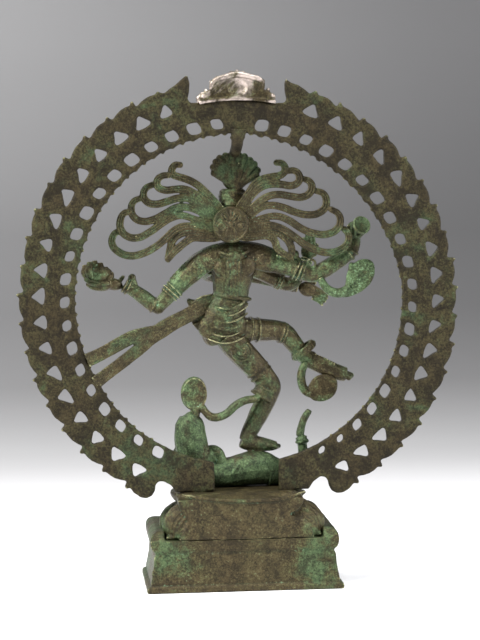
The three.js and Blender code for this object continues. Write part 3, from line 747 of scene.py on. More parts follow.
def makeCrest():
    parts = []
    x0, z0 = crest["root"]
    for i, (x, z) in enumerate(crest["tips"]):
        depth = -3.2 - 1.2 * (i % 2)
        dx, dz = x - x0, z - z0
        stops = [(x0 + dx * 0.05, depth, z0 + dz * 0.02 - 1, 2.6),
                 (x0 + dx * 0.36, depth, z0 + dz * 0.4, 2.9),
                 (x0 + dx * 0.72, depth - 0.3, z0 + dz * 0.76, 3.7),
                 (x - dx * 0.06, depth, z - dz * 0.06, 3.5)]
        parts += [sweep(stops), ball((x - dx * 0.07, depth, z - dz * 0.07), (3.7, 3.6, 3.7))]
        for k in (-1, 0, 1):   # barbs
            line = [(x0 + dx * a + k * (0.6 + a) * 1.2 * dz / 45, depth - 2.2 - a,
                     z0 + dz * a - k * (0.6 + a) * 1.2 * dx / 45, 0.75)
                    for a in (0.1, 0.45, 0.72, 0.9)]
            parts.append(sweep(line, steps=3))
    parts.append(ball((-2, -1, 412), (12, 4, 13)))
    collar = stackUp(36, [(12.2, 386), (13.6, 388), (13.8, 391), (12.6, 393), (12.0, 395), (13.2, 397),
                          (13.0, 399), (10.5, 401)],
                     share=0.75, middle=(-3, 1))
    return castAsOne("featherCrest", parts, voxel=0.62, polish=1, wobble=0.15), collar


feathers, crestCollar = makeCrest()
fit(feathers, crestFinish, "patina_green", "feather_crest")


def makeDisc():
    cx, cz, face = -6.5, 365, -19.4
    disc = stackUp(48, [(18.2, 0), (18.6, 1), (18.6, 3.4), (17.6, 4.4)])
    disc.rotation_euler.x = math.pi / 2
    disc.location = Vector((cx, -15, cz)) * mm
    parts = [settle(disc), hoop((cx, face, cz), (0, 1, 0), 17.0, 1.2)]
    for s in (-1, 1):
        parts += [hoop((cx + s * 10, face, cz - 1.2), (0, 1, 0), 5.0, 0.8),
                  ball((cx + s * 10, face, cz - 1.2), (3.2, 1.3, 3.2))]
        parts.append(sweep([(cx + s * 3, face, cz + 2, 0.7), (cx + s * 8, face - 0.3, cz + 6, 0.9),
                            (cx + s * 8.5, face, cz + 12, 0.8),
                            (cx + s * 5, face, cz + 14.5, 0.6)]))
        parts.append(sweep([(cx + s * 2, face, cz - 3, 0.6), (cx + s * 4.5, face, cz - 8, 0.8),
                            (cx + s * 4, face, cz - 15.5, 0.7)]))
    for a in (-60, -30, 0, 30, 60):
        t = math.radians(a)
        parts.append(sweep([(cx + 2.2 * math.sin(t), face - 0.3, cz + 3 + 2.2 * math.cos(t), 0.7),
                            (cx + 6.5 * math.sin(t), face - 0.6, cz + 4 + 7.4 * math.cos(t), 1.1),
                            (cx + 7.6 * math.sin(t), face, cz + 4 + 10.6 * math.cos(t), 0.5)]))
    for a in (-3.6, -1.8, 0, 1.8, 3.6):
        parts.append(sweep([(cx + a * 0.7, face - 0.2, cz - 1, 0.65), (cx + a, face - 0.4, cz - 8, 0.75),
                            (cx + a * 1.2, face, cz - 16, 0.6)]))
    parts.append(ball((cx, face - 0.4, cz + 1), (2.2, 1.4, 2.2)))
    return castAsOne("napeDisc", parts, voxel=0.5, polish=1, wobble=0.12)


fit(makeDisc(), hairFinish, "patina_dark", "nape_disc")

# a lock's section has three strands side by side
lockSection = []
for sign in (1, -1):
    for step in range(22):
        across = sign * (1.04 - 2.08 * (step + 0.5) / 22)
        strand = across - 0.68 * round(across / 0.68)
        lockSection.append((across, sign * (0.20 + 0.62 * math.sqrt(max(0, 1 - (strand / 0.37) ** 2)))))
lockProfile = drawProfile("lockSection", lockSection)

hair = {
    "depth": -12, "width": 3.85, "inward": {"left": 1.0, "right": -0.9},
    "left": [
        [(-15, 381), (-22, 389), (-31, 398), (-42, 407), (-52, 412), (-60, 414.5), (-65, 417), (-65.5, 422),
         (-62, 426), (-57.5, 426)],
        [(-17, 378), (-24, 382), (-33, 389.5), (-43, 397), (-53, 401.5), (-63, 401.5), (-73, 401),
         (-80, 404.5), (-80.5, 411), (-76, 415), (-69, 416)],
        [(-18, 375), (-26, 377), (-37, 385), (-49, 392), (-60, 392.6), (-71, 389.6), (-83, 387),
         (-91, 389.5), (-94.5, 396), (-92, 403), (-85, 406.5)],
        [(-19, 371), (-28, 372), (-40, 379.5), (-52, 383.5), (-62, 383), (-73, 377.5), (-85, 371.5),
         (-96, 370), (-104, 374), (-107, 382), (-104.5, 390), (-98, 393)],
        [(-20, 367), (-28, 367), (-44, 371.5), (-56, 375), (-66, 373.4), (-76, 368), (-89, 359),
         (-101, 353.6), (-112, 355.5), (-118, 363), (-118, 372), (-115, 378), (-109, 380)],
        [(-20, 362), (-28, 361.5), (-40, 363.5), (-53, 364.5), (-63, 361), (-73, 352.5), (-83, 344.5),
         (-97, 337.5), (-109, 335.6), (-120, 339.5), (-126.5, 347), (-126, 355), (-122, 359.4),
         (-117, 359)],
        [(-18, 356), (-26, 355), (-40, 357.5), (-52, 358.5), (-61, 355), (-66.5, 349), (-69, 341),
         (-71, 333)],
        [(-16, 352), (-24, 351), (-36, 352), (-46, 352.4), (-53, 348.5), (-60, 343), (-66, 337.5),
         (-71, 331.5)],
    ],
    "right": [
        [(1, 381), (6, 388), (13, 397), (19, 405), (27, 410.5), (38, 413), (46, 414.5), (50.4, 419.5),
         (48, 426), (42, 427)],
        [(3, 378.5), (8, 383), (17, 395), (25, 402), (36, 405.5), (47, 405), (58, 404), (64, 408),
         (64.5, 414), (60, 418.6), (53, 418.6)],
        [(5, 375), (12, 379), (22, 387), (31, 392.5), (43, 395), (56, 393), (67, 392), (75, 396),
         (77.4, 403), (74.5, 408), (70, 410)],
        [(6, 371), (14, 374), (25, 381.5), (34, 384), (47, 382), (60, 377), (73, 374), (85, 376),
         (91.5, 383), (91.6, 391), (88, 396), (82, 398)],
        [(7, 367), (16, 368), (28, 371.5), (41, 373), (53, 369), (67, 360), (80, 355), (93, 354.4),
         (102.5, 359.5), (106, 367.5), (103.5, 375), (97, 379)],
        [(7, 361), (16, 362), (32, 364.4), (45, 361), (58, 353), (69, 344.4), (82, 338), (95, 335.6),
         (107, 339), (113.6, 346), (114, 354), (110, 359)],
        [(5, 356), (14, 355.5), (27, 357.4), (39, 357.4), (49, 352), (55, 344), (56.4, 336.5), (54, 330.5)],
        [(3, 351.5), (12, 351), (22, 353), (33, 353), (39, 348.5), (41.5, 341), (47, 336), (55, 331.5)],
    ],
}


def makeHair(side):
    parts = []
    for index, lock in enumerate(hair[side]):
        stops = []
        for i, (x, z) in enumerate(lock):
            share = i / (len(lock) - 1)
            taper = 1 - 0.2 * max(0, share - 0.75) / 0.25
            width = hair["width"] * (0.72 + 0.28 * min(1, share / 0.3)) * taper
            depth = hair["depth"] + 1.6 * math.sin(index * 2 + share * 3) * share
            out = min(1, share * 2.5)
            stops.append((x + hair["inward"][side] * out, depth, z - 0.5 * out, width))
        parts.append(sweep(stops, lockProfile, steps=5, tilt=math.pi / 2))
        x, z = lock[-1][0] + hair["inward"][side], lock[-1][1] - 0.5
        parts.append(ball((x, depth, z), (3.3, 2.7, 3.3)))
    sign = -1 if side == "left" else 1
    web = [(-6.5 + sign * a, 365 + b) for a, b in ((4, -14), (4, 15), (10, 15), (17, 15), (21, 10), (22, 2),
                                                   (20, -6), (16, -11), (10, -13))]
    parts.append(cutPlate([web], -11.4, -7.6, edge=0.6))
    return castAsOne("hairFan" + side.title(), parts, voxel=0.6, polish=0, wobble=0.12)


fit(makeHair("left"), hairFinish, "patina_dark", "hair_fan_left")
fit(makeHair("right"), hairFinish, "patina_dark", "hair_fan_right")
print("hair done")


# the dancer

dancer = {   # stops along each limb: x, y, z, radius
    "trunk": [
        (-3, 5, 345, 8), (-3, 5, 340, 12), (-3, 5, 333, 19), (-3, 5, 324, 22.5), (-3.5, 5, 313, 21.5),
        (-5, 5, 301, 19), (-6, 5, 291, 17.8), (-9, 5, 282, 19.6), (-13, 5, 271, 22.6),
        (-16.5, 5, 260, 21.6), (-18, 5, 250, 17), (-16, 5, 244, 10)],
    "shoulders": [
        (-38, 1.5, 323.6, 11.4), (-28, 2.5, 330, 12.4), (-15, 3, 335, 11.2), (8, 3, 336.5, 11),
        (20, 2.5, 334, 12), (32, 1.5, 330, 11.8)],
    "across": [
        (-38, 1.5, 322, 11), (-28, 2.5, 328.5, 12), (-15, 3, 334, 11), (8, 3, 335.5, 11),
        (20, 2.5, 333, 12), (32, 1.5, 329, 11.6)],
    "necklace": [(-20, 16, 334), (-12, 22, 322), (-3, 24, 317), (6, 22, 322), (13, 16, 334)],
    "standingLeg": [
        (-10, 5, 252, 14.2), (-3, 5, 243, 14.2), (6.5, 5.5, 232, 13.6), (18, 6, 219.5, 12.8),
        (28, 6.5, 207, 12), (33.5, 7, 198, 11.4), (31.5, 6, 190, 10.4), (26, 5, 179, 10.4),
        (21, 4, 170, 10), (15, 2, 159, 9), (10, 0.5, 150, 8.1), (8, 0, 144, 7.8)],
    "raisedLeg": [
        (-4, 8, 257, 12.6), (12, 12, 257, 12.4), (28, 15.5, 255.6, 11.8), (42, 18.5, 254.4, 10.8),
        (51.6, 20, 251, 10.2), (58, 20.5, 243.4, 9.6), (63, 20, 237, 9.0), (68, 20, 230, 8.4),
        (75, 20, 224, 8.0)],
    "fireArm": [
        (-26, 2, 331, 12), (-36, 1.4, 325.4, 12.4), (-46, 1, 317, 11.8), (-56, 0.6, 307.6, 10.4),
        (-66, 0.2, 297.6, 9), (-74, 0, 288.8, 7.9), (-79.5, 0.2, 282.6, 7)],
    "fireForearm": [
        (-79.5, 0.4, 281.6, 6.8), (-86, 1, 285.4, 7.8), (-95, 1.6, 292.6, 7.6), (-104, 2, 299, 6.8),
        (-114, 2, 304.6, 5.6)],
    "drumArm": [
        (20, 2, 328.6, 10.2), (32, 1.2, 326, 10.6), (44, 0.6, 323.4, 10.0), (56, 0.2, 320.4, 9.6),
        (66, 0, 316, 8.6), (74, 0, 313.2, 8.4), (83, 0, 313.4, 8.8)],
    "drumForearm": [
        (80, 0, 313, 8.4), (90, 0, 317.4, 8.8), (100, 0, 323.4, 8.4), (110, 0, 329.6, 7.8),
        (117, 0, 335, 7.2), (120.4, 0.6, 341.6, 6.6), (122, 1, 348, 5.8)],
    "drum": [
        (0.4, -9.4), (8.6, -9.4), (9.6, -8.8), (9.8, -7.4), (9.0, -6.4), (6.6, -3.6), (4.6, 0), (6.6, 3.6),
        (9.0, 6.4), (9.8, 7.4), (9.6, 8.8), (8.6, 9.4), (0.4, 9.4)],
    "blessingArm": [
        (18, 12, 318, 8), (28, 15, 314, 8), (40, 17, 308, 7.8), (50, 18, 303, 7.4), (57, 19, 302.4, 7.2),
        (64, 22.4, 308, 6.9), (71, 29, 318, 6.2), (76, 33.4, 326, 5.2)],
    "pointingArm": [
        (-26, 11, 321, 8), (-30, 22, 316, 7.6), (-22, 31, 312, 7.6), (-4, 35, 311, 7.4), (18, 36, 310, 7.0),
        (42, 36, 304.5, 6.4), (64, 34, 299, 5.0)],
    "crown": [
        (15.6, 373), (16.4, 375), (16.4, 378), (15.0, 379.4), (14.6, 383), (15.2, 384.4), (14.4, 387),
        (13.0, 388.4), (12.8, 391.6), (13.4, 393), (12.8, 395.4), (11.6, 396.6), (12.6, 397.6),
        (12.4, 398.6)],
    "flames": [
        (-153.4, 318, 329), (-149, 319, 332), (-143.6, 319, 333), (-138, 318, 331), (-133, 316, 326.4),
        (-128, 314, 321)],
}


# bands across a limb, each at a share of its length
def rings(centreLine, at, thick=1.1, grow=0.3, lean=0.0):
    made = []
    for share, wide in at:
        i, part = placeOn(centreLine, share)
        a, b = Vector(centreLine[i]), Vector(centreLine[i + 1])
        here = a.lerp(b, part)
        along = (b - a).to_3d()
        made.append(hoop(here[:3], along + Vector((lean, 0, 0)), here[3] + grow + wide, thick))
    return made


def scroll(line, cx, cz, radii, start, end, thick=0.8):   # curved lines that lie on the back of a limb
    made = []
    for radius in radii:
        stops = []
        for i in range(7):
            a = math.radians(start + (end - start) * i / 6)
            x, z = cx + radius * math.cos(a), cz + radius * math.sin(a)
            best = None
            for p, q in zip(line, line[1:]):
                p, q = Vector(p), Vector(q)
                span = Vector((q.x - p.x, q.z - p.z))
                k = max(0, min(1, Vector((x - p.x, z - p.z)).dot(span) / span.length_squared))
                here = p.lerp(q, k)
                away = math.hypot(x - here.x, z - here.z)
                if best is None or away - here.w < best[0]:
                    best = (away - here.w, here.y - math.sqrt(max(1, here.w ** 2 - away ** 2)))
            stops.append((x, best[1] - 0.1, z, thick * 1.3))
        made.append(sweep(stops, steps=3))
    return made


def beads(points, radius, count):   # a row of small balls along a line
    made = []
    for i in range(count):
        k, part = placeOn(points, i / max(1, count - 1))
        here = Vector(points[k]).lerp(Vector(points[k + 1]), part)
        made.append(ball(here, (radius, radius, radius), segments=10))
    return made


def hand(palm, fingers, thumb=None):   # palm is centre, radii, turn; each finger is a few stops
    parts = [ball(*palm)]
    for stops in fingers + ([thumb] if thumb else []):
        parts.append(sweep(stops, steps=4))
        x, y, z, r = stops[-1]
        parts.append(ball((x, y, z), (r, r, r), segments=12))
    return parts


def digit(stops, radii):   # a toe or finger with a round end
    return [sweep(stops), ball(stops[-1][:3], radii, segments=10)]


def flattened(piece, middle, share):   # thinner from front to back
    piece.scale.y = share
    piece.location.y = middle * (1 - share) * mm
    return settle(piece)


def makeTorso():
    trunk = flattened(sweep(dancer["trunk"]), 5, 0.78)
    shoulders = sweep(dancer["shoulders"])
    shoulders = together("shoulders", [shoulders, ball((-38, 1.5, 323.6), (11.2, 11.2, 11.2)),
                                       ball((33, 1.5, 329.4), (11.6, 11.6, 11.6))])
    blades = [ball((-14, -6, 322), (10, 5.5, 10)), ball((9, -6, 322), (10, 5.5, 10))]
    seat = [ball((-26.6, -1, 261), (13.6, 9, 13.4)), ball((-4, -2, 262), (13, 9, 14))]
    hips = sweep([(-16, 6, 262, 16), (2, 9, 256.5, 13.5), (16, 12, 256.5, 12.4)])
    chest = [ball((-13, 17, 322), (9.5, 5, 8)), ball((7, 17, 322), (9.5, 5, 8)),
             ball((-4.5, 18, 303), (10, 4, 11))]
    parts = [trunk, shoulders, hips] + blades + seat + chest
    for x, lean in ((-9.5, 0.9), (-5.6, 0.4), (-2, 0), (1.6, -0.4)):   # threads and plait down the back
        parts.append(sweep([(x, -12, 328, 1.3), (x + 0.3, -11.9, 318, 1.45), (x - 0.6, -9.3, 303, 1.4),
                            (x - 1.4 + lean * 0.4, -8.8, 293, 1.3)], steps=3))
    parts.append(ball((-3.5, -12.5, 333), (6.5, 3, 5)))
    parts += [sweep([(-3 + s * 2, -13.5, 333, 1.5), (-3 + s * 9, -11, 335.5, 1.7),
                     (-3 + s * 15, -6, 338, 1.4)]) for s in (-1, 1)]
    for x, z, start in ((-25, 327, 150), (19, 330, 140)):   # a spiral on each shoulder
        parts += scroll(dancer["across"], x, z, (3, 5.6, 8.2), start, start + 250)
    parts.append(flattened(hoop((-4.6, 6, 291), (0.16, 0, 1), 18.4, 2.2), 6, 0.86))
    parts.append(flattened(hoop((-5.4, 6, 286.8), (0.2, 0, 1), 17.6, 0.9), 6, 0.84))
    for k in range(6):   # folds of the hip cloth, in arcs across the back
        z = 284 - k * 6.4
        left, right = -27 - k * 1.6, 12 - k * 0.6
        stops = []
        for i in range(6):
            u = i / 5
            x = left + (right - left) * u
            drop = z - 7 * math.sin(math.pi * u) + (5 - k) * u * 1.2
            middle, half = (left + right) / 2, (right - left) / 2 + 1.5
            y = 4.5 - 17.2 * math.sqrt(max(0.02, 1 - ((x - middle) / half) ** 2))
            stops.append((x, y, drop, 1.0 + 0.25 * math.sin(k * 2.1 + u * 3)))
        parts.append(sweep(stops, steps=4))
    front = dancer["necklace"]
    parts.append(sweep([(*p, 1.3) for p in front]))
    parts += beads([(x * 0.86, y + 0.6, z + 5.5) for x, y, z in front], 1.5, 17)
    parts.append(ball((-3, 24.4, 315), (3, 2, 3.6)))
    return castAsOne("dancerTorso", parts, voxel=0.8, polish=2, wobble=0.25)


def makeStandingLeg():
    line = dancer["standingLeg"]
    parts = [sweep(line)]
    parts += rings(line, [(0.30, -0.2), (0.33, -0.1)], thick=0.9)
    parts += scroll(line, 4, 236, (4, 7, 10), 170, 420, 0.75)
    parts += scroll(line, 24, 214, (3, 6), 100, 380, 0.75)
    parts += [sweep([(29.4, 5.6, 195.4, 11.4), (27.4, 5.4, 191.8, 12.0), (25.6, 5.2, 188.4, 12.2)]),
              hoop((29.6, 5.6, 195.8), (0.52, 0, 0.86), 11.2, 1.3),
              hoop((25.4, 5.2, 188), (0.52, 0, 0.86), 11.8, 1.9)]   # band of bells under the knee
    parts.append(ball((33, 12, 199), (6, 5, 7)))
    parts += [sweep([(2.6, 0, 144, 6.8), (8, 0.4, 142, 7.6), (16, 1, 141.4, 8.0), (25, 1.4, 139.8, 7.2),
                     (33, 1.4, 138.6, 6.0), (39, 1.4, 138, 4.4)])]
    for k in range(5):   # toes
        y = -3.8 + k * 2.5
        reach = 41.6 - abs(k - 3.2) * 1.3
        parts += digit([(29, y, 139, 2.8), (36, y * 1.1, 138.4, 2.8), (reach, y * 1.15, 137.2, 2.5)],
                       (2.6, 2.5, 2.6))
    parts += [hoop((9, 0.2, 147), (0.35, 0, 1), 6.8, 1.2), hoop((10.2, 0.3, 150), (0.35, 0, 1), 6.7, 0.8)]
    parts.append(block((9, -3.6, 125.2), (25, 3.6, 136)))
    return castAsOne("standingLeg", parts, voxel=0.8, polish=2, wobble=0.2)


def makeRaisedLeg():
    line = dancer["raisedLeg"]
    parts = [sweep(line)]
    parts += rings(line, [(0.14, 0.2), (0.2, 0.3), (0.44, 0.2), (0.48, 0.0)], thick=0.9)
    parts += [hoop((68.4, 20, 235.6), (0.62, 0, -0.82), 12.2, 1.9),
              hoop((71.4, 20, 231.8), (0.62, 0, -0.82), 12.6, 1.7)]
    for k in range(18):   # bells round the ankle
        turn = math.tau * k / 18
        a, b = 13.0 * math.cos(turn), 12.6 * math.sin(turn)
        parts.append(ball((70 + a * 0.80, 20 + b, 233.6 + a * 0.60), (2.3, 2.3, 2.6), segments=10))
    parts.append(ball((55, 24, 251), (6.5, 6, 6.5)))
    parts += [ball((77, 20, 227), (7.2, 6, 6)),
              sweep([(74, 20.5, 224, 8), (84, 21, 219.4, 8.6), (95, 21.5, 214.2, 8.8),
                     (105, 22, 209.8, 8.6), (114, 22, 207.6, 7.4)])]
    for k in range(5):
        y = 16.6 + k * 2.5
        reach = 120.6 - abs(k - 3.0) * 1.2
        low = 204.8 + 0.5 * k
        parts += digit([(104, y, 210.8, 3.4), (113, y, low + 2, 3.2), (reach - 1, y, low, 3.0)],
                       (3.2, 3.0, 3.2))
    parts += beads([(82, 14.6, 229), (92, 14.8, 224.5), (101, 15, 219.5)], 1.5, 8)
    parts.append(sweep([(80, 14.4, 227.6, 1.2), (92, 14.6, 222, 1.2), (102, 15.4, 217, 1.0)]))
    return castAsOne("raisedLeg", parts, voxel=0.8, polish=2, wobble=0.2)


def makeFireArm():
    line = dancer["fireArm"]
    fore = dancer["fireForearm"]
    parts = [sweep(line), sweep(fore), ball((-80, 0, 281), (6.6, 6.2, 6.2))]
    parts += rings(line, [(0.62, 0.3), (0.67, 0.8), (0.72, 0.3)], thick=1.0)
    parts += rings(fore, [(0.16, 0.1), (0.9, 0.6), (0.98, 0.5)], thick=1.2)
    parts += beads([(-20, -2, 343.4), (-32, -2, 338.6), (-43, -2, 332), (-55, -2, 322.4),
                    (-66, -2, 310.6)], 2.4, 16)
    parts.append(sweep([(-20, 0, 337, 1.6), (-40, 0, 327, 2.2), (-56, 0, 315.6, 2.2), (-70, 0, 303, 1.6)]))
    parts += scroll(line, -38, 321, (3, 5.6, 8), 20, 330)
    parts += hand(((-126, 2, 306.4), (11, 6, 6.4), (0, 14, 0)), [
        [(-128, -2, 305, 2.9), (-137, -4, 302.8, 2.9), (-145, -4, 303.4, 2.8), (-150.4, -3, 306.5, 2.4)],
        [(-128, -5, 308.6, 2.9), (-138, -7, 307, 2.9), (-147, -6.6, 308.4, 2.7), (-152.4, -5, 311.6, 2.3)],
        [(-128, 4, 303.6, 2.8), (-136, 4, 301.4, 2.6), (-143, 4, 302, 2.2)]],
        [(-119, 7, 308, 2.8), (-116.4, 8, 311, 2.4), (-114.6, 8, 313, 2.0)])
    parts += [sweep([(-103, 3, 301, 4), (-104.4, 4, 307, 3.8), (-105.4, 4, 311, 3.4)]),
              ball((-105.8, 4, 312.4), (4, 3.8, 4))]
    return castAsOne("fireArm", parts, voxel=0.75, polish=2, wobble=0.2)


def makeFlameBowl():
    parts = [ball((-138.5, 1.5, 315), (13.6, 8.8, 9.4), turn=(0, -8, 0))]
    for i, (x, z, top) in enumerate(dancer["flames"]):
        y = 1.5 - 3.2 * (i % 2)
        parts.append(sweep([(x * 0.4 - 83, y * 1.6, 309, 4), (x, y * 1.6, z, 4),
                            (x + 0.6, y, (z + top) / 2 - 1, 3.6), (x + 0.2, y, top - 2.6, 2.6)]))
    parts.append(flattened(hoop((-139.5, 1.5, 311.6), (0.12, 0, 1), 12.2, 1.2), 1.5, 0.66))
    return castAsOne("flameBowl", parts, voxel=0.6, polish=2, wobble=0.15)


def makeDrumArm():
    line = dancer["drumArm"]
    fore = dancer["drumForearm"]
    parts = [sweep(line), sweep(fore)]
    parts += rings(line, [(0.58, 0.4), (0.64, 0.9), (0.70, 0.3)], thick=1.1)
    parts += [ball((60, -2, 333), (4, 2.6, 5)), ball((63, -2, 328), (3, 2.4, 3)),
              hoop((76, -5, 324), (0.2, 1, 0.3), 4.2, 1.4)]
    parts += rings(fore, [(0.62, 0.7), (0.68, 0.4)], thick=1.1)
    parts += hand(((121.4, 0, 346), (5.8, 4.6, 7.6), (0, 12, 0)), [
        [(118, -3, 350, 2.1), (115.4, -5, 356, 2.0), (114.6, -4, 361, 1.8)],
        [(121, -4, 351, 2.1), (121, -7, 357, 2.0), (121.6, -9, 361, 1.8)],
        [(124, -3, 350, 2.1), (129, -5, 353.6, 2.0), (133.4, -4, 357, 1.7)]],
        [(119, 4, 348, 2.3), (116.6, 7, 354, 2.1), (117, 7.4, 360, 1.8)])
    parts += beads([(28, -6, 335), (38, -6, 333), (48, -6, 331), (57, -6, 328)], 1.6, 10)
    return castAsOne("drumArm", parts, voxel=0.75, polish=2, wobble=0.2)


def makeDrum():
    drum = stackUp(36, dancer["drum"])
    cords = []
    for k in range(10):
        a, b = math.tau * k / 10, math.tau * (k + 0.5) / 10
        cords.append(sweep([(9.2 * math.cos(a), 9.2 * math.sin(a), -7, 0.5),
                            (5.2 * math.cos((a + b) / 2), 5.2 * math.sin((a + b) / 2), 0, 0.5),
                            (9.2 * math.cos(b), 9.2 * math.sin(b), 7, 0.5)]))
    rims = [hoop((0, 0, s * 9.2), (0, 0, 1), 8.4, 0.9) for s in (-1, 1)]
    piece = together("handDrum", [drum] + cords + rims)
    inHand = Matrix.Translation(Vector((125, -1, 359.4)) * mm)
    piece.matrix_world = inHand @ Matrix.Rotation(1.2, 4, "X") @ Matrix.Rotation(0.3, 4, "Y")
    return castAsOne("handDrum", [settle(piece)], voxel=0.55, polish=1, wobble=0.1)


def makeBlessingArm():
    line = dancer["blessingArm"]
    parts = [sweep(line)] + rings(line, [(0.34, 0.3), (0.38, 0.6), (0.93, 0.5), (0.98, 0.5)], thick=1.0)
    parts.append(ball((78, 35.4, 334.6), (8, 4.4, 8.6)))
    for k in range(4):
        x = 72.6 + k * 3.7
        top = (349.6, 353.6, 354.4, 351)[k]
        parts += [sweep([(x, 35.8, 339, 2.2), (x + 0.1, 36.4, 346, 2.0), (x + 0.2, 36.6, top - 1.4, 1.6)]),
                  ball((x + 0.2, 36.6, top - 1.6), (1.7, 1.6, 1.8), segments=10)]
    parts += digit([(83.4, 35, 330, 2.6), (86.6, 35.4, 336, 2.3), (87, 35.6, 341, 1.9)], (2, 1.9, 2.1))
    return castAsOne("blessingArm", parts, voxel=0.75, polish=2, wobble=0.15)


def makePointingArm():
    line = dancer["pointingArm"]
    parts = [sweep(line)] + rings(line, [(0.36, 0.2), (0.41, 0.5)], thick=0.9)
    parts += [hoop((62, 34, 299.6), (1, 0, -0.2), 6.0, 1.3), hoop((65.4, 34, 299), (1, 0, -0.2), 5.8, 1.1),
              hoop((59, 34, 300.2), (1, 0, -0.2), 6.0, 0.8)]
    parts += [ball((76, 33, 295.6), (9.5, 4.6, 7.4), turn=(0, 24, 0))]
    for k in range(4):
        z = 299 - k * 4.0
        tip = (96.6, 96, 94, 91)[k]
        parts += digit([(81, 33, z, 2.3), (88, 33, z - 4.0, 2.1), (tip, 32.4, z - 9.5 + k * 0.8, 1.7)],
                       (1.8, 1.7, 1.8))
    parts += [sweep([(72, 37, 300, 2.4), (80, 39, 303, 2.2), (86, 39, 301, 1.9)])]
    return castAsOne("pointingArm", parts, voxel=0.75, polish=2, wobble=0.15)


def hoodPlate(name, snake):   # a snake's flat hood with its tail
    hood = cutPlate([snake["outline"]], *snake["depths"], edge=1.9, smooth=True, steps=5)
    return castAsOne(name, [hood, sweep(snake["tail"])], voxel=0.65, polish=3, wobble=0.3)


def makeHead():
    nose = -4
    skull = ball((nose, 5, 366), (15.4, 15, 18.6))
    jaw = ball((nose, 9, 357), (11, 10.5, 11))
    neck = sweep([(-3, 5, 334, 9.4), (-3.5, 5, 343, 7.8), (nose, 5, 352, 8.4)])
    parts = [skull, jaw, neck]
    parts.append(sweep([(nose, 19.2, 371, 1.6), (nose, 20.6, 366, 1.9), (nose, 21.8, 361.6, 2.5)]))
    parts += [ball((nose + s * 2, 20.4, 361), (1.5, 1.5, 1.3), segments=12) for s in (-1, 1)]
    for s in (-1, 1):
        parts.append(ball((nose + s * 6, 18.0, 368), (4.2, 1.9, 2.1), segments=16))
        parts.append(sweep([(nose + s * 2.6, 19.6, 368.2, 0.5), (nose + s * 6, 20.2, 369.4, 0.65),
                            (nose + s * 10, 17.6, 368.4, 0.5)]))
        parts.append(sweep([(nose + s * 2.4, 20, 372.6, 0.6), (nose + s * 6.4, 19.8, 374.6, 0.8),
                            (nose + s * 11, 16.4, 372.6, 0.5)]))
        parts += [ball((nose + s * 7.4, 15.4, 360.6), (4.2, 3.2, 4.6), segments=16)]
        parts += [ball((nose + s * 15.4, 5.4, 364.4), (1.8, 3.2, 5.4), segments=16),
                  hoop((nose + s * 16, 5.4, 356.4), (1, 0, 0), 2.9, 1.1)]
    parts.append(sweep([(-8, 18.6, 356.6, 0.6), (-5.6, 20, 357.3, 1.0), (nose, 20.2, 356.9, 1.0),
                        (-2.4, 20, 357.3, 1.0), (0, 18.6, 356.6, 0.6)]))
    parts.append(sweep([(-7, 18.6, 355.6, 0.5), (nose, 19.8, 354.9, 1.3), (-1, 18.6, 355.6, 0.5)]))
    parts.append(ball((nose, 16.6, 350), (4, 3.4, 3)))
    parts.append(stackUp(40, dancer["crown"], share=0.95, middle=(-3.8, 3.6)))
    band = [(nose + 16.6 * math.sin(a / 5), 3.6 + 15.8 * math.cos(a / 5), 376.6) for a in range(-8, 9)]
    parts += beads(band, 1.3, 25)
    parts += [ball((nose, 18.6, 381), (3, 2.4, 4)), ball((nose, 17, 389), (2.4, 2, 3))]
    parts += [sweep([(nose + s * 6, 17.4, 380, 1), (nose + s * 9, 14.4, 385, 1.2),
                     (nose + s * 6, 14.4, 390, 0.9)]) for s in (-1, 1)]
    return castAsOne("head", parts + [crestCollar], voxel=0.55, polish=1, wobble=0.1)


for make, finish, node in (
        (makeTorso, bodyFinish, "dancer_torso"), (makeStandingLeg, bodyFinish, "standing_leg"),
        (makeRaisedLeg, figureFinish, "raised_leg"), (makeFireArm, figureFinish, "fire_arm"),
        (makeFlameBowl, figureFinish, "flame_bowl"), (makeDrumArm, figureFinish, "drum_arm"),
        (makeDrum, figureFinish, "hand_drum"), (makeBlessingArm, figureFinish, "blessing_arm"),
        (makePointingArm, figureFinish, "pointing_arm"), (makeHead, figureFinish, "head")):
    fit(make(), finish, "patina_green", node)

serpents = {
    "forearmSerpent": {
        "outline": [(110, 301), (111.4, 310), (113.6, 318), (116, 324.6), (119, 324), (125, 327),
                    (134, 327.4), (139, 324), (140.6, 316), (138, 306), (130.6, 297.4), (120, 291.6),
                    (110, 289), (104, 291)],
        "depths": (-10, -4),
        "tail": [(85, -5, 309, 3.8), (88, -6, 303, 4.2), (93, -7, 297, 4.6), (100, -7.5, 293.8, 5),
                 (108, -7.5, 294.6, 5.2), (115, -7.2, 300, 4.4)]},
    "ankleSerpent": {
        "outline": [(76, 200.6), (79.4, 205), (86, 208.4), (95, 208.4), (102.6, 204), (104, 196),
                    (100.4, 187), (93, 182), (84, 181), (76, 184.6), (72.6, 191)],
        "depths": (12.5, 18.5),
        "tail": [(77, 16, 225, 3.6), (70.6, 15.5, 219, 4.2), (67.2, 15.5, 211, 4.4), (67.2, 15.5, 201, 4.6),
                 (71, 15.5, 192, 4.6), (79, 15.5, 187, 3.6)]},
}
fit(hoodPlate("forearmSerpent", serpents["forearmSerpent"]), hoodFinish, "patina_green", "forearm_serpent")
fit(hoodPlate("ankleSerpent", serpents["ankleSerpent"]), figureFinish, "patina_green", "ankle_serpent")
print("dancer done")


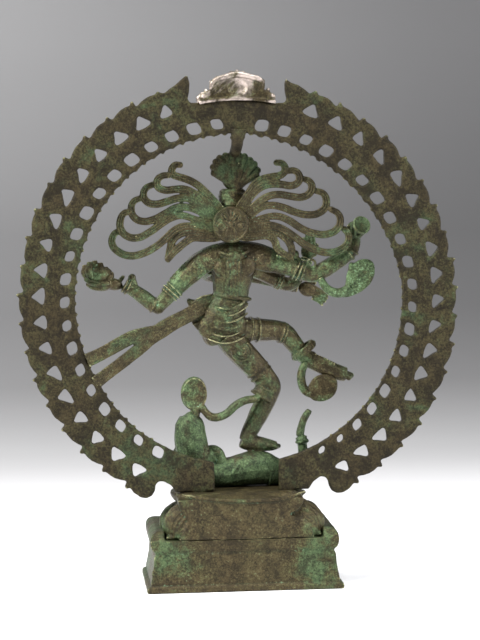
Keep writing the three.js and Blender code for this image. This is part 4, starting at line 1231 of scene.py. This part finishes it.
# sash, with a hem along both edges
ribbonSection = [(6.1, -1.4), (6.1, 1.4), (5.0, 2.0), (3.8, 1.5), (2.2, 1.7), (0, 1.3), (-2.2, 1.7),
                 (-3.8, 1.5), (-5.0, 2.0), (-6.1, 1.4), (-6.1, -1.4), (-5.0, -2.0), (-3.8, -1.5),
                 (-2.2, -1.7), (0, -1.3), (2.2, -1.7), (3.8, -1.5), (5.0, -2.0)]
ribbonProfile = drawProfile("ribbonSection", ribbonSection)


sash = {   # x, z, width along each strand; where a stop has four values the second is its depth
    "strands": [
        [(-14, 291, 1.0), (-27, 286, 1.2), (-40, 279, 1.28), (-52, 273, 1.25), (-64, 267.5, 1.25),
         (-77, -14.8, 260.5, 1.35), (-90, 252.6, 1.3)],
        [(-78, 260.5, 0.9), (-92, 257.5, 1.1), (-106, 254.6, 1.12), (-121, 248, 1.12), (-136, 240.4, 1.1),
         (-153.5, 233, 1.12)],
        [(-80, 258, 0.9), (-89, 251, 1.0), (-98, 244, 1.05), (-109, 236, 1.05), (-121, 227.4, 1.05),
         (-134, -34.1, 218.4, 1.05), (-146, 210, 1.1)]],
    "lean": 0.337, "start": 11.1,
    "knot": [(-22, 293), (-31, 291), (-44, 289), (-50, 290), (-49, 283), (-45, 277), (-46.6, 268),
             (-42, 260), (-35, 255), (-27, 259), (-24, 280)],
}


def makeSash():
    def at(stop):
        return stop if len(stop) == 4 else (stop[0], sash["lean"] * stop[0] + sash["start"], *stop[1:])
    parts = []
    for strand in sash["strands"]:
        parts.append(sweep([at(stop) for stop in strand], ribbonProfile, tilt=math.pi / 2))
    parts.append(cutPlate([sash["knot"]], -1, 5.4, edge=2, smooth=True))
    for k in range(4):
        parts.append(sweep([(-26, -0.6, 294 - k * 8, 1), (-36, -2.2, 291.5 - k * 8.2, 1.2),
                            (-45.6, -0.8, 286 - k * 7.4, 0.9)]))
    return castAsOne("sash", parts, voxel=0.75, polish=2, wobble=0.3)


fit(makeSash(), hairFinish, "patina_dark", "sash")
print("sash done")


# the dwarf under the dancer's foot

dwarf = {   # stops: x, y, z, radius
    "back": [
        (-39.6, 0, 108, 17.8), (-45, -3, 122, 17.4), (-48, -5, 136, 16.6), (-50, -6, 150, 16),
        (-50.4, -5, 163, 14.4), (-50, -4, 171, 10)],
    "body": [
        (-42, 2, 113, 16), (-26, 1, 111, 15.6), (-8, 0, 112, 16), (8, 0, 115, 17), (24, 0, 115, 17),
        (38, 1, 111, 14), (48, 2, 107, 10)],
    "shin": [
        (46, 2, 108, 11), (57, -1, 110, 9), (63.4, -4, 117, 7), (65.6, -5.4, 126, 5.6), (65, -6, 136, 5.0),
        (64.4, -6, 144, 5.0), (65, -6, 149, 4.8)],
    "foot": [
        (62, -6, 148, 3.8), (62.6, -6, 152, 4.4), (63.8, -6, 157.4, 4.1), (65.6, -6, 163, 3.8),
        (68.6, -6, 169, 3.9), (71.4, -6, 173, 3.5), (72.6, -6, 175, 2.6)],
    "nearArm": [
        (-52, 6, 142, 8), (-60, 12, 131, 7), (-62, 19, 120, 6.4), (-58, 26, 111, 5.6), (-50, 30, 105, 5.0),
        (-40, 33, 104, 4.4)],
    "farArm": [(-30, 12, 126, 8), (-22, 24, 114, 6), (-10, 33, 104.6, 4.6)],
    "snake": [
        (21, -3, 188, 3.8), (15, -7, 187.4, 4), (6, -11, 186.4, 4.2), (-4, -13, 181.6, 4.4),
        (-12, -13, 174.4, 4.4), (-20, -13, 170.6, 4.4), (-28, -13, 170.6, 4.3), (-34, -13, 175.4, 3.8),
        (-38, -13, 181, 4)],
}


def makeDwarf():
    nose = -49
    back = sweep(dwarf["back"])
    body = sweep(dwarf["body"])
    mound = flattened(ball((17, 0, 118), (25, 20, 16)), 0, 0.85)
    parts = [back, mound, body]
    for k in range(11):   # combed hair down the back
        a = -1 + k * 0.2
        parts.append(sweep([(nose + 3.4 * a, -12.6 + 2.5 * a * a, 176.6 - 2.8 * a * a, 1.2),
                            (-49.8 + 10.6 * a, -19 + 7 * a * a, 168, 1.6),
                            (-49.4 + 13.8 * a, -21 + 8 * a * a, 153, 1.7),
                            (-47.6 + 14.8 * a, -20.6 + 8 * a * a, 138, 1.7),
                            (-44.4 + 15.4 * a, -18.6 + 8 * a * a, 122, 1.6)], steps=4))
    parts.append(hoop((nose, -5, 169.6), (0.05, 0.1, 1), 8.6, 1.3))
    parts += [ball((-29, -4, 130), (9, 8, 9)),
              sweep([(-32, -2, 134, 6.6), (-24, -5, 134.4, 6), (-19.6, -5, 128, 6), (-20, -4, 116, 7)]),
              block((-34, -6, 108), (-20, 4, 130))]
    parts += [sweep(dwarf["shin"])] + rings(dwarf["shin"], [(0.80, 0.7), (0.86, 0.5)], thick=1.1)
    parts.append(sweep(dwarf["foot"]))
    parts += [sweep(dwarf["nearArm"]), sweep(dwarf["farArm"])]
    # head, face to the front
    parts += [ball((nose, 9, 158), (11.6, 11.5, 13.6)), ball((nose, 14, 151), (8, 6.5, 7))]
    parts.append(sweep([(nose, 19.4, 161.6, 1.2), (nose, 21.6, 156.4, 2.0)]))
    for s in (-1, 1):
        parts += [ball((nose + s * 4.4, 18.6, 160.4), (3.1, 1.7, 1.7), segments=14),
                  ball((nose + s * 11, 8, 156), (1.8, 3, 4.6), segments=14)]
        parts.append(sweep([(nose + s * 1.6, 20.2, 163.4, 0.5), (nose + s * 4.8, 19.8, 165, 0.7),
                            (nose + s * 8, 17, 163.4, 0.5)]))
        parts.append(hoop((nose + s * 11.4, 8, 150.4), (1, 0, 0), 2.2, 0.9))
    parts.append(sweep([(-52.6, 19.2, 151.6, 0.7), (nose, 20.8, 151, 1.2), (-45.4, 19.2, 151.6, 0.7)]))
    for k in range(4):   # waist cloth
        parts.append(hoop((32 + k * 3.4, 1, 112), (1, 0, -0.14), 15.4 - k * 1.3, 0.9))
    for k in range(3):
        parts.append(sweep([(-8 + k * 12, -15.4, 112 + k, 1.3), (-2 + k * 12, -14.6, 120, 1.5),
                            (4 + k * 12, -9, 128, 1.2)]))
    whole = castAsOne("dwarfBody", parts, voxel=0.9, polish=2, wobble=0.35)
    carve(whole, block((-120, -90, 60), (120, 90, 98.2)), block((-120, -90, 60), (120, -31.8, 200)))
    return whole


def makeDwarfSerpent():
    parts = [sweep(dwarf["snake"])]
    hood = ball((-45.8, -12, 194.8), (13.6, 4.6, 17.4))
    parts += [hood, ball((-45, -10, 194), (9.6, 5.6, 13.4)),
              sweep([(-44, -12, 182, 5), (-45, -10, 174, 5.4), (-46, -8, 169, 6)])]
    rim = []
    for a in range(0, 360, 30):
        t = math.radians(a)
        rim.append((-45 + 11.4 * math.cos(t), -15, 194.6 + 15.4 * math.sin(t), 1.1))
    parts.append(sweep(rim, closed=True))
    return castAsOne("dwarfSerpent", parts, voxel=0.7, polish=3, wobble=0.3)


fit(makeDwarf(), bellyFinish, "patina_green", "dwarf_body")
fit(makeDwarfSerpent(), figureFinish, "patina_green", "dwarf_serpent")

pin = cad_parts["dwarf_tang_pin"]   # out of sight under the lotus, so the CAD pin stays
pin.data.materials.clear()
pin.data.materials.append(ringFinish)
for profile in (lockProfile, ribbonProfile):
    bpy.data.objects.remove(profile)
print("dwarf done")

# stage and light

def addStage():   # floor that curves up into the wall
    deselect()
    bpy.ops.mesh.primitive_plane_add(size=1)
    sheet = bpy.context.object
    sheet.name = "paperSweep"
    sheet.scale = studio["sheet"]
    sheet.location = studio["sheetPlace"]
    settle(sheet)
    bpy.ops.object.mode_set(mode="EDIT")
    bpy.ops.mesh.select_all(action="DESELECT")
    bpy.ops.object.mode_set(mode="OBJECT")
    for edge in sheet.data.edges:
        edge.select = all(sheet.data.vertices[v].co.y > 0 for v in edge.vertices)
    bpy.ops.object.mode_set(mode="EDIT")
    bpy.ops.mesh.select_mode(type="EDGE")
    bend, steps = studio["bend"], studio["bendSteps"]
    for i in range(steps):
        a, b = math.pi / 2 * i / steps, math.pi / 2 * (i + 1) / steps
        rise = (0, bend * (math.sin(b) - math.sin(a)), bend * (math.cos(a) - math.cos(b)))
        bpy.ops.mesh.extrude_region_move(TRANSFORM_OT_translate={"value": rise})
    bpy.ops.mesh.extrude_region_move(TRANSFORM_OT_translate={"value": (0, 0, studio["wall"])})
    bpy.ops.object.mode_set(mode="OBJECT")
    bpy.ops.object.shade_smooth()
    paint = Paint("paperSweep")
    place = paint.node("ShaderNodeTexCoord", output=3)
    depth = paint.node("ShaderNodeSeparateXYZ", {}, {0: place}, 1)
    across = paint.node("ShaderNodeSeparateXYZ", {}, {0: place}, 0)
    # the sweep's grey graded by depth: near white floor, then painted light falloff and shade up the wall
    paperShaded = paint.node("ShaderNodeValToRGB", {"stops": [(p, (g, g, g * 1.03)) for p, g in studio["paperToneAndShade"]]},
                      {0: depth * 0.4})
    # painted shade: the far wall darkens toward the right, away from the key light
    paperShaded = paint.mix(paint.step(across, -0.8, 0.8) * paint.step(depth, 1.0, 2.0) * 0.6, paperShaded,
                     (0.02, 0.02, 0.022))
    paint.put(paint.shader.inputs["Base Color"], paperShaded)
    paint.put(paint.shader.inputs["Roughness"], 0.8)
    sheet.data.materials.append(paint.material)
    world = bpy.context.scene.world or bpy.data.worlds.new("studio")
    bpy.context.scene.world = world
    world.use_nodes = True
    world.node_tree.nodes["Background"].inputs[0].default_value = (1.0, 0.99, 0.98, 1)
    world.node_tree.nodes["Background"].inputs[1].default_value = studio["world"]
    for lamp in studio["lights"]:
        addLight(*lamp)
    bpy.context.scene.view_settings.view_transform = "Standard"


addStage()
addCamera()
